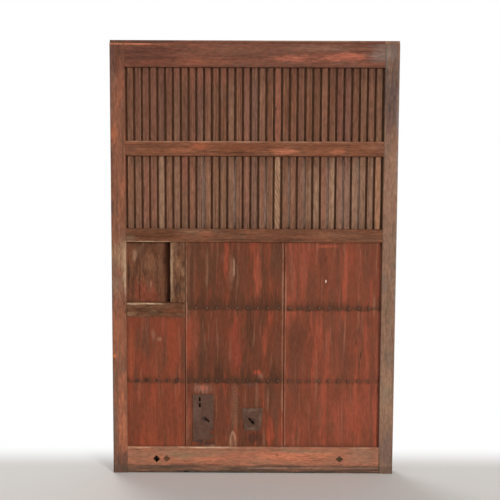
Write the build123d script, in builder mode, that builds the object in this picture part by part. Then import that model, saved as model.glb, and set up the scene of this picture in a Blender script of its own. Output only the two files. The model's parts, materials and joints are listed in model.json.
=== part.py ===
from build123d import *
import os

# Storehouse door: one sliding leaf with a slatted upper half, boards below, a hand pull,
# two locks that lift drop bolts, and two wheels sunk in the bottom rail.
# Millimetres, +Z up, the front faces -Y, origin in the middle of the bottom edge and of the depth.

# Leaf and frame
door_width = 1150
door_height = 1755
stile_width = 58
stile_depth = 48
rail_setback = 1.5
worn_edge = 3
top_rail_height = 106
upper_middle_rail_height = 60
lower_middle_rail_height = 55
bottom_rail_height = 110
lattice_band_height = 290
tongue_height = 13
tongue_step = 9

# Joints of the frame
tenon_length = 38
tenon_thickness = 14
tenon_shoulder = 12
tenon_end_play = 1
batten_tenon_length = 20

# Lattice
slat_count = 33
slat_width = 22.6
slat_thickness = 16
slat_setback = 12
slat_chamfer = 1.5
slat_housing = 10
lattice_board_count = 4
lattice_board_thickness = 9
lattice_board_gap = 0.4

# Lower boards and the battens behind them
left_column_width = 237
centre_board_width = 404
board_setback = 13
board_thickness = 14
board_groove = 6
board_end_play = 0.8
lap_width = 10
joint_gap = 1.2
joint_chamfer = 2.5
batten_height = 48
batten_thickness = 19
batten_chamfer = 3
upper_batten_share = 0.682
lower_batten_share = 0.325

# Hand pull
pull_opening_width = 177
pull_opening_height = 247
pull_sill_height = 59
pull_setback = 5
pull_depth = 28
pull_worn_edge = 5
pull_board_thickness = 9
pull_tenon_length = 20

# Forged nails
nail_head_sides = 6
nail_head_radius = 5.5
nail_head_height = 3.5
nail_head_slope = 38
nail_shank = 4
nail_length = 28
left_nail_count = 5
wide_nail_count = 9
left_nail_insets = (39, 32)
centre_nail_insets = (46, 24)
right_nail_insets = (21, 48)
plate_nail_head_radius = 4.2
plate_nail_head_height = 2.2
plate_nail_shank = 3
plate_nail_length = 15
plate_hole_clearance = 0.3

# Lock plates and keyholes
plate_thickness = 2.5
left_plate_width = 86
left_plate_height = 200
left_plate_side_gap = 31
left_plate_rise = 17
left_plate_outline_shares = (
    (0, 0), (0.5, 0.01), (0.58, 0.06), (0.84, 0.05), (0.98, 0.1), (0.96, 0.15),
    (0.84, 0.18), (0.87, 0.24), (1, 0.26), (1, 1), (0, 1),
)
left_plate_nail_shares = ((0.1, 0.05), (0.9, 0.32), (0.1, 0.95), (0.9, 0.95))
key_slot_width = 7.2
key_slot_height = 17
key_slot_across_share = 0.34
key_slot_top_gap = 11.5
key_slot_gap = 9
left_keyhole_across_share = 0.68
left_keyhole_up_share = 0.465
left_keyhole_length = 27
left_keyhole_width = 7
left_keyhole_angle = -41
right_plate_top_width = 91
right_plate_bottom_width = 65
right_plate_height = 96
right_plate_corner = 9
right_plate_side_gap = 277
right_plate_rise = 65
right_plate_nail_inset = 10
right_keyhole_across = -5
right_keyhole_up = -6
right_keyhole_length = 34
right_keyhole_width = 9
right_keyhole_angle = -49
keyhole_boss_radius = 22
keyhole_boss_height = 1.2
keyhole_board_margin = 3

# Drop bolts and the cases they slide in
bolt_width = 44
bolt_thickness = 12
bolt_head_width = 64
bolt_head_height = 26
bolt_foot_rise = 1
bolt_foot_chamfer = 4
bolt_travel = 40
bolt_clearance = 0.5
bolt_board_gap = 3.5
bolt_end_gap = 2
bolt_notch_count = 5
bolt_notch_height = 10
bolt_notch_depth = 4
bolt_notch_pitch = 26
case_wall = 10
case_foot_share = 0.45
case_batten_gap = 8

# Wheels, axles and the diamond plugs over them
wheel_inset = 161
wheel_board_gap = 4
wheel_track_reach = 2
wheel_width = 10
wheel_hub_radius = 15
wheel_web_recess = 1.5
wheel_rim_height = 9
wheel_slot_clearance = 1
wheel_round_clearance = 3
axle_radius = 6
axle_running_clearance = 0.05
axle_back_seat = 10
track_groove_depth = 22
plug_half_width = 16
plug_half_height = 13.5
plug_depth = 8
plug_sunk = 1
open_mortise_half_width = 15
open_mortise_half_height = 15.5
open_mortise_side_gap = 42
open_mortise_drop = 2
sill_edge_chip_width = 16
sill_edge_chip_height = 7
sill_edge_chip_depth = 5
sill_edge_chip_side_gap = 10

# How far cuts run past the faces they open
cut_overrun = 5

# Levels
opening_width = door_width - 2 * stile_width
opening_left = -opening_width / 2
opening_right = opening_width / 2
top_rail_bottom = door_height - top_rail_height
upper_middle_rail_top = top_rail_bottom - lattice_band_height
upper_middle_rail_bottom = upper_middle_rail_top - upper_middle_rail_height
lower_middle_rail_top = upper_middle_rail_bottom - lattice_band_height
lower_middle_rail_bottom = lower_middle_rail_top - lower_middle_rail_height
panel_height = lower_middle_rail_bottom - bottom_rail_height
lattice_bottom = lower_middle_rail_top - slat_housing
lattice_top = top_rail_bottom + slat_housing
board_bottom = bottom_rail_height - board_groove
board_top = lower_middle_rail_bottom + board_groove
pull_sill_top = lower_middle_rail_bottom - pull_opening_height
pull_sill_bottom = pull_sill_top - pull_sill_height
upper_batten_middle = bottom_rail_height + upper_batten_share * panel_height
lower_batten_middle = bottom_rail_height + lower_batten_share * panel_height
tongue_bottom = door_height - tongue_height
wheel_top = board_bottom - wheel_board_gap
wheel_bottom = track_groove_depth - wheel_track_reach
axle_height = (wheel_top + wheel_bottom) / 2
wheel_radius = (wheel_top - wheel_bottom) / 2

# Depths, from the front to the back
leaf_front = -stile_depth / 2
leaf_back = stile_depth / 2
rail_front = leaf_front + rail_setback
rail_back = leaf_back - rail_setback
slat_front = leaf_front + slat_setback
slat_back = slat_front + slat_thickness
lattice_board_back = slat_back + lattice_board_thickness
board_front = leaf_front + board_setback
board_back = board_front + board_thickness
board_middle = board_front + board_thickness / 2
batten_back = board_back + batten_thickness
pull_front = leaf_front + pull_setback
pull_back = pull_front + pull_depth
pull_board_back = pull_back + pull_board_thickness
plate_front = board_front - plate_thickness
bolt_front = board_back + bolt_board_gap
bolt_back = bolt_front + bolt_thickness
wheel_slot_half = wheel_width / 2 + wheel_slot_clearance

# Places across the door
left_joint = opening_left + left_column_width
right_joint = left_joint + centre_board_width
boards_left = opening_left - board_groove + board_end_play
boards_right = opening_right + board_groove - board_end_play
pull_post_left = opening_left + pull_opening_width
left_plate_left = left_joint + left_plate_side_gap
left_plate_bottom = bottom_rail_height + left_plate_rise
right_plate_middle = left_joint + right_plate_side_gap
right_plate_bottom = bottom_rail_height + right_plate_rise
key_slot_middle = left_plate_left + key_slot_across_share * left_plate_width
left_keyhole_middle = left_plate_left + left_keyhole_across_share * left_plate_width
right_keyhole_middle = right_plate_middle + right_keyhole_across
left_bolt_middle = (key_slot_middle + left_keyhole_middle) / 2
right_bolt_middle = right_keyhole_middle
case_top = lower_batten_middle - batten_height / 2 - case_batten_gap
bolt_top = case_top - case_wall - bolt_end_gap
bolt_head_bottom = bolt_top - bolt_head_height
case_shoulder = bolt_head_bottom - bolt_travel - bolt_clearance
case_bottom = bottom_rail_height + case_foot_share * (case_shoulder - bottom_rail_height)
wheel_middles = (opening_left + wheel_inset, opening_right - wheel_inset)
open_mortise_middle = wheel_middles[0] - open_mortise_side_gap
tenon_depth = (-tenon_thickness / 2, tenon_thickness / 2)
upper_tenon_middle = (rail_front + slat_front) / 2
upper_tenon_depth = (upper_tenon_middle - tenon_thickness / 4, upper_tenon_middle + tenon_thickness / 4)
batten_tenon_depth = (board_back + batten_thickness / 4, batten_back - batten_thickness / 4)


def middle(limits):
    return (limits[0] + limits[1]) / 2


def span(limits):
    return limits[1] - limits[0]


def around(place, size):
    return (place - size / 2, place + size / 2)


def shouldered(limits):
    return (limits[0] + tenon_shoulder, limits[1] - tenon_shoulder)


def diamond(half_width, half_height):
    return ((-half_width, 0), (0, -half_height), (half_width, 0), (0, half_height))


def at_depth(depth):
    return Plane.XZ.offset(-depth)


def patch(across, up, mode=Mode.ADD):
    with Locations((middle(across), middle(up))):
        Rectangle(span(across), span(up), mode=mode)


def cut_out(across, through, up):
    with Locations((middle(across), middle(through), middle(up))):
        Box(span(across), span(through), span(up), mode=Mode.SUBTRACT)


def tenon(side, length, through, up):
    with BuildSketch(Plane.YZ.offset(side * opening_width / 2)) as end:
        patch(through, up)
    extrude(end.sketch, amount=side * length)


def finish(part, node):
    part.label = node
    export_step(part, f"parts/{node}.step")


os.makedirs("parts", exist_ok=True)

# Tenons that enter both stiles: how deep, at which depth of the leaf, at which level
rail_tenons = (
    (tenon_length, tenon_depth, shouldered((top_rail_bottom, tongue_bottom))),
    (tenon_length, upper_tenon_depth, shouldered((upper_middle_rail_bottom, upper_middle_rail_top))),
    (tenon_length, tenon_depth, shouldered((lower_middle_rail_bottom, lower_middle_rail_top))),
    (tenon_length, tenon_depth, shouldered((track_groove_depth, board_bottom))),
)
lower_batten_up = around(lower_batten_middle, batten_height)
upper_batten_up = around(upper_batten_middle, batten_height)
sill_tenon = (pull_tenon_length, tenon_depth, shouldered((pull_sill_bottom, pull_sill_top)))
lower_batten_tenon = (batten_tenon_length, batten_tenon_depth, shouldered(lower_batten_up))
upper_batten_tenon = (batten_tenon_length, batten_tenon_depth, shouldered(upper_batten_up))

# Grooves along the inner faces of the stiles: depth of the leaf, from which level to which
lattice_groove = ((slat_back, lattice_board_back), (lattice_bottom, lattice_top))
left_grooves = (
    lattice_groove,
    ((board_front, board_back), (board_bottom, pull_sill_bottom + board_groove)),
    ((pull_back, pull_board_back), (pull_sill_bottom, board_top)),
)
right_grooves = (lattice_groove, ((board_front, board_back), (board_bottom, board_top)))


def build_stile(side, mortises, grooves):
    inner = side * opening_width / 2
    outer = side * door_width / 2
    all_across = (min(inner, outer) - cut_overrun, max(inner, outer) + cut_overrun)
    with BuildPart() as stile:
        with BuildSketch(Plane.XY):
            patch((min(inner, outer), max(inner, outer)), (leaf_front, leaf_back))
        extrude(amount=door_height)
        fillet(stile.edges().filter_by(Axis.Z).group_by(Axis.Y)[0], worn_edge)
        # Steps that leave the tongue along the head
        head = (tongue_bottom, door_height + cut_overrun)
        cut_out(all_across, (leaf_front - cut_overrun, leaf_front + tongue_step), head)
        cut_out(all_across, (leaf_back - tongue_step, leaf_back + cut_overrun), head)
        # Groove that straddles the track on the sill
        cut_out(all_across, (-wheel_slot_half, wheel_slot_half), (-cut_overrun, track_groove_depth))
        # Mortises for the rails and battens
        for length, through, up in mortises:
            ends = (inner - side * cut_overrun, inner + side * (length + tenon_end_play))
            cut_out((min(ends), max(ends)), through, up)
        # Grooves for the edges of the boards
        for through, up in grooves:
            ends = (inner - side * cut_overrun, inner + side * board_groove)
            cut_out((min(ends), max(ends)), through, up)
    return stile.part


# Stiles
finish(build_stile(-1, rail_tenons + (lower_batten_tenon, sill_tenon), left_grooves), "left_stile")
finish(build_stile(1, rail_tenons + (lower_batten_tenon, upper_batten_tenon), right_grooves), "right_stile")

# Top rail, with the tongue above and the housing for the slats below
with BuildPart() as top_rail:
    with BuildSketch(Plane.YZ.offset(opening_left)):
        patch((rail_front, rail_back), (top_rail_bottom, tongue_bottom))
        patch((leaf_front + tongue_step, leaf_back - tongue_step), (tongue_bottom, door_height))
        patch((slat_front, lattice_board_back), (top_rail_bottom, lattice_top), mode=Mode.SUBTRACT)
    extrude(amount=opening_width)
    fillet(top_rail.edges().filter_by(Axis.X).group_by(Axis.Y)[0], worn_edge)
    for side in (-1, 1):
        tenon(side, *rail_tenons[0])
finish(top_rail.part, "top_rail")

# Places of the slats, evenly across the opening
slat_gap = (opening_width - slat_count * slat_width) / (slat_count + 1)
slat_pitch = slat_width + slat_gap

# Upper middle rail, notched from behind over every slat
with BuildPart() as upper_middle_rail:
    with BuildSketch(Plane.YZ.offset(opening_left)):
        patch((rail_front, slat_back), (upper_middle_rail_bottom, upper_middle_rail_top))
    extrude(amount=opening_width)
    fillet(upper_middle_rail.edges().filter_by(Axis.X).group_by(Axis.Y)[0], worn_edge)
    with BuildSketch(Plane.XY.offset(upper_middle_rail_bottom)):
        with Locations((0, (slat_front + slat_back) / 2)):
            with GridLocations(slat_pitch, slat_thickness, slat_count, 1):
                Rectangle(slat_width, slat_thickness)
    extrude(amount=upper_middle_rail_height, mode=Mode.SUBTRACT)
    for side in (-1, 1):
        tenon(side, *rail_tenons[1])
finish(upper_middle_rail.part, "upper_middle_rail")

# Lower middle rail, housing the slats above and the boards and pull below
with BuildPart() as lower_middle_rail:
    with BuildSketch(Plane.YZ.offset(opening_left)):
        patch((rail_front, rail_back), (lower_middle_rail_bottom, lower_middle_rail_top))
        patch((slat_front, lattice_board_back), (lattice_bottom, lower_middle_rail_top), mode=Mode.SUBTRACT)
    extrude(amount=opening_width)
    fillet(lower_middle_rail.edges().filter_by(Axis.X).group_by(Axis.Y)[0], worn_edge)
    groove_up = (lower_middle_rail_bottom - cut_overrun, board_top)
    cut_out((pull_post_left, opening_right + cut_overrun), (board_front, board_back), groove_up)
    cut_out((opening_left - cut_overrun, left_joint), (pull_back, pull_board_back), groove_up)
    for side in (-1, 1):
        tenon(side, *rail_tenons[2])
finish(lower_middle_rail.part, "lower_middle_rail")

# Bottom rail, grooved for the boards and the track, slotted for the wheels and bolts
with BuildPart() as bottom_rail:
    with BuildSketch(Plane.YZ.offset(opening_left)):
        patch((rail_front, rail_back), (0, bottom_rail_height))
        patch((board_front, board_back), (board_bottom, bottom_rail_height), mode=Mode.SUBTRACT)
        patch((-wheel_slot_half, wheel_slot_half), (0, track_groove_depth), mode=Mode.SUBTRACT)
    extrude(amount=opening_width)
    fillet(bottom_rail.edges().filter_by(Axis.X).group_by(Axis.Y)[0], worn_edge)
    # Slots for the wheels
    for across in wheel_middles:
        slot = around(across, 2 * (wheel_radius + wheel_round_clearance))
        slot_top = axle_height + wheel_radius + wheel_slot_clearance
        cut_out(slot, (-wheel_slot_half, wheel_slot_half), (-cut_overrun, slot_top))
    # Mortises for the drop bolts
    for across in (left_bolt_middle, right_bolt_middle):
        mortise = around(across, bolt_width + 2 * bolt_clearance)
        through = (bolt_front - bolt_clearance, bolt_back + bolt_clearance)
        cut_out(mortise, through, (-cut_overrun, bottom_rail_height + cut_overrun))
    # Diamond mortises over the axle ends
    with BuildSketch(at_depth(rail_front)):
        with Locations(*[(across, axle_height) for across in wheel_middles]):
            Polygon(*diamond(plug_half_width, plug_half_height))
    extrude(amount=-plug_depth, mode=Mode.SUBTRACT)
    # Seats of the axles
    with BuildSketch(at_depth(rail_front + plug_depth)):
        with Locations(*[(across, axle_height) for across in wheel_middles]):
            Circle(axle_radius + axle_running_clearance)
    extrude(amount=-(wheel_slot_half + axle_back_seat - rail_front - plug_depth), mode=Mode.SUBTRACT)
    # The mortise that has lost its plug, open into the wheel slot
    with BuildSketch(at_depth(rail_front)):
        with Locations((open_mortise_middle, axle_height - open_mortise_drop)):
            Polygon(*diamond(open_mortise_half_width, open_mortise_half_height))
    extrude(amount=(rail_front - rail_back) / 2, mode=Mode.SUBTRACT)
    # Chip broken from the lower front edge
    with BuildSketch(at_depth(rail_front)):
        chip_left = left_plate_left - sill_edge_chip_side_gap - sill_edge_chip_width
        with BuildLine():
            Polyline(
                (chip_left, -cut_overrun),
                (chip_left + sill_edge_chip_width / 3, sill_edge_chip_height),
                (chip_left + sill_edge_chip_width, -cut_overrun),
                close=True,
            )
        make_face()
    extrude(amount=-sill_edge_chip_depth, mode=Mode.SUBTRACT)
    for side in (-1, 1):
        tenon(side, *rail_tenons[3])
finish(bottom_rail.part, "bottom_rail")

# Slats, each one piece from the top rail to the lower middle rail
for number in range(slat_count):
    slat_left = opening_left + slat_gap + number * slat_pitch
    with BuildPart() as slat:
        with BuildSketch(Plane.XY.offset(lattice_bottom)) as slat_profile:
            patch((slat_left, slat_left + slat_width), (slat_front, slat_back))
            chamfer(slat_profile.vertices().group_by(Axis.Y)[0], slat_chamfer)
        extrude(amount=lattice_top - lattice_bottom - board_end_play)
    finish(slat.part, f"slat_{number + 1:02d}")

# Boards that close the lattice behind
lattice_board_pitch = (boards_right - boards_left) / lattice_board_count
with BuildPart() as lattice_back_boards:
    with BuildSketch(Plane.XY.offset(lattice_bottom)):
        with Locations((0, (slat_back + lattice_board_back) / 2)):
            with GridLocations(lattice_board_pitch, lattice_board_thickness, lattice_board_count, 1):
                Rectangle(lattice_board_pitch - lattice_board_gap, lattice_board_thickness)
    extrude(amount=lattice_top - lattice_bottom - board_end_play)
finish(lattice_back_boards.part, "lattice_back_boards")

# Left board, below the hand pull, with the tongue of its lapped edge behind the centre board
with BuildPart() as left_board:
    with BuildSketch(Plane.XY.offset(board_bottom)) as left_profile:
        patch((boards_left, left_joint), (board_front, board_back))
        chamfer(left_profile.vertices().group_by(Axis.Y)[0].sort_by(Axis.X)[-1], joint_chamfer)
        patch((left_joint, left_joint + lap_width), (board_middle, board_back))
    extrude(amount=pull_sill_bottom + board_groove - board_end_play - board_bottom)
finish(left_board.part, "left_board")

# Levels of the keyholes
upper_key_slot_up = left_plate_bottom + left_plate_height - key_slot_top_gap - key_slot_height / 2
lower_key_slot_up = upper_key_slot_up - key_slot_height - key_slot_gap
left_keyhole_up = left_plate_bottom + left_keyhole_up_share * left_plate_height
right_keyhole_level = right_plate_bottom + right_plate_height / 2 + right_keyhole_up


def left_keyholes(margin):
    widened = 2 * margin
    with Locations((key_slot_middle, lower_key_slot_up), (key_slot_middle, upper_key_slot_up)):
        Rectangle(key_slot_width + widened, key_slot_height + widened)
    with Locations((left_keyhole_middle, left_keyhole_up)):
        SlotOverall(left_keyhole_length + widened, left_keyhole_width + widened, left_keyhole_angle)


def right_keyhole(margin):
    widened = 2 * margin
    with Locations((right_keyhole_middle, right_keyhole_level)):
        SlotOverall(right_keyhole_length + widened, right_keyhole_width + widened, right_keyhole_angle)


# Centre board, lapped on both edges and cut through behind the keyholes
with BuildPart() as centre_board:
    with BuildSketch(Plane.XY.offset(board_bottom)) as centre_profile:
        patch((left_joint + joint_gap, right_joint), (board_front, board_back))
        chamfer(centre_profile.vertices().group_by(Axis.Y)[0], joint_chamfer)
        patch((left_joint, left_joint + lap_width), (board_middle, board_back), mode=Mode.SUBTRACT)
        patch((right_joint, right_joint + lap_width), (board_middle, board_back))
    extrude(amount=board_top - board_end_play - board_bottom)
    with BuildSketch(at_depth(board_front)):
        left_keyholes(keyhole_board_margin)
        right_keyhole(keyhole_board_margin)
    extrude(amount=-board_thickness, mode=Mode.SUBTRACT)
finish(centre_board.part, "centre_board")

# Right board, lapped over the tongue of the centre board
with BuildPart() as right_board:
    with BuildSketch(Plane.XY.offset(board_bottom)) as right_profile:
        patch((right_joint + joint_gap, boards_right), (board_front, board_back))
        chamfer(right_profile.vertices().group_by(Axis.Y)[0].sort_by(Axis.X)[0], joint_chamfer)
        patch((right_joint, right_joint + lap_width), (board_middle, board_back), mode=Mode.SUBTRACT)
    extrude(amount=board_top - board_end_play - board_bottom)
finish(right_board.part, "right_board")

# Upper batten, from the hand pull to the right stile
with BuildPart() as upper_batten:
    with BuildSketch(Plane.YZ.offset(left_joint)):
        patch((board_back, batten_back), upper_batten_up)
    extrude(amount=opening_right - left_joint)
    chamfer(upper_batten.edges().filter_by(Axis.X).group_by(Axis.Y)[-1], batten_chamfer)
    tenon(1, *upper_batten_tenon)
finish(upper_batten.part, "upper_batten")

# Lower batten, from stile to stile
with BuildPart() as lower_batten:
    with BuildSketch(Plane.YZ.offset(opening_left)):
        patch((board_back, batten_back), lower_batten_up)
    extrude(amount=opening_width)
    chamfer(lower_batten.edges().filter_by(Axis.X).group_by(Axis.Y)[-1], batten_chamfer)
    for side in (-1, 1):
        tenon(side, *lower_batten_tenon)
finish(lower_batten.part, "lower_batten")

# Stub of the pull post in the sill
post_stub_across = shouldered((pull_post_left, left_joint))
post_stub_up = (pull_sill_top - board_groove, pull_sill_top)

# Tongue of the hand pull's frame behind the lapped edge of the centre board
pull_lap_across = (left_joint, left_joint + lap_width)
pull_lap_through = (board_middle, board_back)

# Post on the right of the hand pull, tongued into the rail above and stubbed into the sill
with BuildPart() as pull_post:
    with BuildSketch(Plane.XY.offset(pull_sill_top)):
        patch((pull_post_left, left_joint), (pull_front, pull_back))
        patch(pull_lap_across, pull_lap_through)
    extrude(amount=lower_middle_rail_bottom - pull_sill_top)
    fillet(pull_post.edges().filter_by(Axis.Z).group_by(Axis.Y)[0].sort_by(Axis.X)[0], pull_worn_edge)
    with BuildSketch(Plane.XY.offset(lower_middle_rail_bottom)):
        patch((pull_post_left, left_joint), (board_front, board_back))
        patch(pull_lap_across, pull_lap_through)
    extrude(amount=board_groove - board_end_play)
    with BuildSketch(Plane.XY.offset(post_stub_up[0])):
        patch(post_stub_across, (board_front, board_back))
    extrude(amount=board_groove)
finish(pull_post.part, "pull_post")

# Sill of the hand pull, its upper arris rounded by hands, grooved below for the left board
with BuildPart() as pull_sill:
    with BuildSketch(Plane.YZ.offset(opening_left)):
        groove_up = (pull_sill_bottom, pull_sill_bottom + board_groove)
        patch((pull_front, pull_back), (pull_sill_bottom, pull_sill_top))
        patch((board_front, board_back), groove_up, mode=Mode.SUBTRACT)
    extrude(amount=left_column_width)
    fillet(pull_sill.edges().filter_by(Axis.X).group_by(Axis.Y)[0].sort_by(Axis.Z)[-1], pull_worn_edge)
    with BuildSketch(Plane.YZ.offset(left_joint)):
        patch(pull_lap_through, (pull_sill_bottom + board_groove, pull_sill_top))
    extrude(amount=lap_width)
    cut_out(post_stub_across, (board_front, board_back), (post_stub_up[0], post_stub_up[1] + cut_overrun))
    tenon(-1, *sill_tenon)
finish(pull_sill.part, "pull_sill")

# Board that closes the hand pull behind
with BuildPart() as pull_back_board:
    with BuildSketch(at_depth(pull_back)):
        patch((boards_left, left_joint), (pull_sill_bottom, board_top - board_end_play))
    extrude(amount=-pull_board_thickness)
finish(pull_back_board.part, "pull_back_board")


def nail_places(edges, insets, count, up):
    first = edges[0] + insets[0]
    pitch = (edges[1] - insets[1] - first) / (count - 1)
    return [(first + number * pitch, up) for number in range(count)]


# Nails in two rows, driven through the boards into the battens
left_edges = (opening_left, left_joint)
board_nail_places = nail_places(left_edges, left_nail_insets, left_nail_count, lower_batten_middle)
for up in (lower_batten_middle, upper_batten_middle):
    board_nail_places += nail_places((left_joint, right_joint), centre_nail_insets, wide_nail_count, up)
    board_nail_places += nail_places((right_joint, opening_right), right_nail_insets, wide_nail_count, up)
with BuildPart() as board_nails:
    with BuildSketch(at_depth(board_front)):
        with Locations(*board_nail_places):
            RegularPolygon(nail_head_radius, nail_head_sides)
    extrude(amount=nail_head_height, taper=nail_head_slope)
    with BuildSketch(at_depth(board_front)):
        with Locations(*board_nail_places):
            Rectangle(nail_shank, nail_shank)
    extrude(amount=-nail_length)
finish(board_nails.part, "board_nails")


def on_left_plate(shares):
    across = [left_plate_left + share[0] * left_plate_width for share in shares]
    up = [left_plate_bottom + share[1] * left_plate_height for share in shares]
    return list(zip(across, up))


# Nail places on the plates
left_plate_nail_places = on_left_plate(left_plate_nail_shares)
right_plate_top = right_plate_bottom + right_plate_height
upper_nail_offset = right_plate_top_width / 2 - right_plate_nail_inset
lower_nail_offset = right_plate_bottom_width / 2 - right_plate_nail_inset
right_plate_nail_places = [
    (right_plate_middle - upper_nail_offset, right_plate_top - right_plate_nail_inset),
    (right_plate_middle + upper_nail_offset, right_plate_top - right_plate_nail_inset),
    (right_plate_middle - lower_nail_offset, right_plate_bottom + right_plate_nail_inset),
    (right_plate_middle + lower_nail_offset, right_plate_bottom + right_plate_nail_inset),
]
plate_hole = plate_nail_shank + 2 * plate_hole_clearance

# Left lock plate, long, its lower corner rusted through, with two key slots and a slanted keyhole
with BuildPart() as left_lock_plate:
    with BuildSketch(at_depth(board_front)):
        with BuildLine():
            Polyline(*on_left_plate(left_plate_outline_shares), close=True)
        make_face()
    extrude(amount=plate_thickness)
    with BuildSketch(at_depth(board_front)):
        left_keyholes(0)
        with Locations(*left_plate_nail_places):
            Rectangle(plate_hole, plate_hole)
    extrude(amount=plate_thickness, mode=Mode.SUBTRACT)
finish(left_lock_plate.part, "left_lock_plate")

# Right lock plate, tapered, with a raised disc round its slanted keyhole
with BuildPart() as right_lock_plate:
    with BuildSketch(at_depth(board_front)) as right_outline:
        with BuildLine():
            Polyline(
                (right_plate_middle - right_plate_bottom_width / 2, right_plate_bottom),
                (right_plate_middle + right_plate_bottom_width / 2, right_plate_bottom),
                (right_plate_middle + right_plate_top_width / 2, right_plate_top),
                (right_plate_middle - right_plate_top_width / 2, right_plate_top),
                close=True,
            )
        make_face()
        fillet(right_outline.vertices(), right_plate_corner)
    extrude(amount=plate_thickness)
    with BuildSketch(at_depth(plate_front)):
        with Locations((right_keyhole_middle, right_keyhole_level)):
            Circle(keyhole_boss_radius)
    extrude(amount=keyhole_boss_height)
    with BuildSketch(at_depth(board_front)):
        right_keyhole(0)
        with Locations(*right_plate_nail_places):
            Rectangle(plate_hole, plate_hole)
    extrude(amount=plate_thickness + keyhole_boss_height, mode=Mode.SUBTRACT)
finish(right_lock_plate.part, "right_lock_plate")

# Nails that hold the two plates
with BuildPart() as plate_nails:
    with BuildSketch(at_depth(plate_front)):
        with Locations(*left_plate_nail_places, *right_plate_nail_places):
            RegularPolygon(plate_nail_head_radius, nail_head_sides)
    extrude(amount=plate_nail_head_height, taper=nail_head_slope)
    with BuildSketch(at_depth(plate_front)):
        with Locations(*left_plate_nail_places, *right_plate_nail_places):
            Rectangle(plate_nail_shank, plate_nail_shank)
    extrude(amount=-plate_nail_length)
finish(plate_nails.part, "plate_nails")


def build_bolt(across):
    with BuildPart() as bolt:
        with BuildSketch(at_depth(bolt_front)) as outline:
            patch(around(across, bolt_width), (bolt_foot_rise, bolt_top))
            chamfer(outline.vertices().group_by(Axis.Y)[0], bolt_foot_chamfer)
            patch(around(across, bolt_head_width), (bolt_head_bottom, bolt_top))
        extrude(amount=-bolt_thickness)
        # Notches that the hooked key catches
        for number in range(bolt_notch_count):
            notch_top = bolt_head_bottom - number * bolt_notch_pitch
            cut_out(
                around(across, bolt_head_width),
                (bolt_front - cut_overrun, bolt_front + bolt_notch_depth),
                (notch_top - bolt_notch_height, notch_top),
            )
    return bolt.part


def build_case(across):
    with BuildPart() as case:
        with BuildSketch(at_depth(board_back)):
            patch(around(across, bolt_head_width + 2 * case_wall), (case_bottom, case_top))
        extrude(amount=-batten_thickness)
        chamfer(case.faces().sort_by(Axis.Y)[-1].edges(), batten_chamfer)
        # Channel for the bolt, wider above for its head
        channel = (board_back - cut_overrun, bolt_back + bolt_clearance)
        lower_channel = around(across, bolt_width + 2 * bolt_clearance)
        upper_channel = around(across, bolt_head_width + 2 * bolt_clearance)
        cut_out(lower_channel, channel, (case_bottom - cut_overrun, case_shoulder))
        cut_out(upper_channel, channel, (case_shoulder, case_top - case_wall))
    return case.part


# Drop bolts, raised as in an unlocked door, and the cases on the back that guide them
finish(build_bolt(left_bolt_middle), "left_drop_bolt")
finish(build_bolt(right_bolt_middle), "right_drop_bolt")
finish(build_case(left_bolt_middle), "left_bolt_case")
finish(build_case(right_bolt_middle), "right_bolt_case")


def build_wheel(across):
    with BuildPart() as wheel:
        with BuildSketch(Plane.YZ.offset(across)):
            bore = axle_radius + axle_running_clearance
            rim_inside = wheel_radius - wheel_rim_height
            half = wheel_width / 2
            web_half = half - wheel_web_recess
            patch((-half, half), (axle_height + bore, axle_height + wheel_hub_radius))
            patch((-web_half, web_half), (axle_height + wheel_hub_radius, axle_height + rim_inside))
            patch((-half, half), (axle_height + rim_inside, axle_height + wheel_radius))
        revolve(axis=Axis((across, 0, axle_height), (0, 1, 0)))
    return wheel.part


# Wheels in the bottom rail
finish(build_wheel(wheel_middles[0]), "left_wheel")
finish(build_wheel(wheel_middles[1]), "right_wheel")

# Axles of the wheels
with BuildPart() as wheel_axles:
    with BuildSketch(at_depth(rail_front + plug_depth)):
        with Locations(*[(across, axle_height) for across in wheel_middles]):
            Circle(axle_radius)
    extrude(amount=-(wheel_slot_half + axle_back_seat - rail_front - plug_depth))
finish(wheel_axles.part, "wheel_axles")

# Diamond plugs over the axle ends, a little below the face of the rail
with BuildPart() as axle_plugs:
    with BuildSketch(at_depth(rail_front + plug_sunk)):
        with Locations(*[(across, axle_height) for across in wheel_middles]):
            Polygon(*diamond(plug_half_width, plug_half_height))
    extrude(amount=plug_sunk - plug_depth)
finish(axle_plugs.part, "axle_plugs")
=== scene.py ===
import json
import math
import random

import bpy
from mathutils import Matrix, Vector

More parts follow.
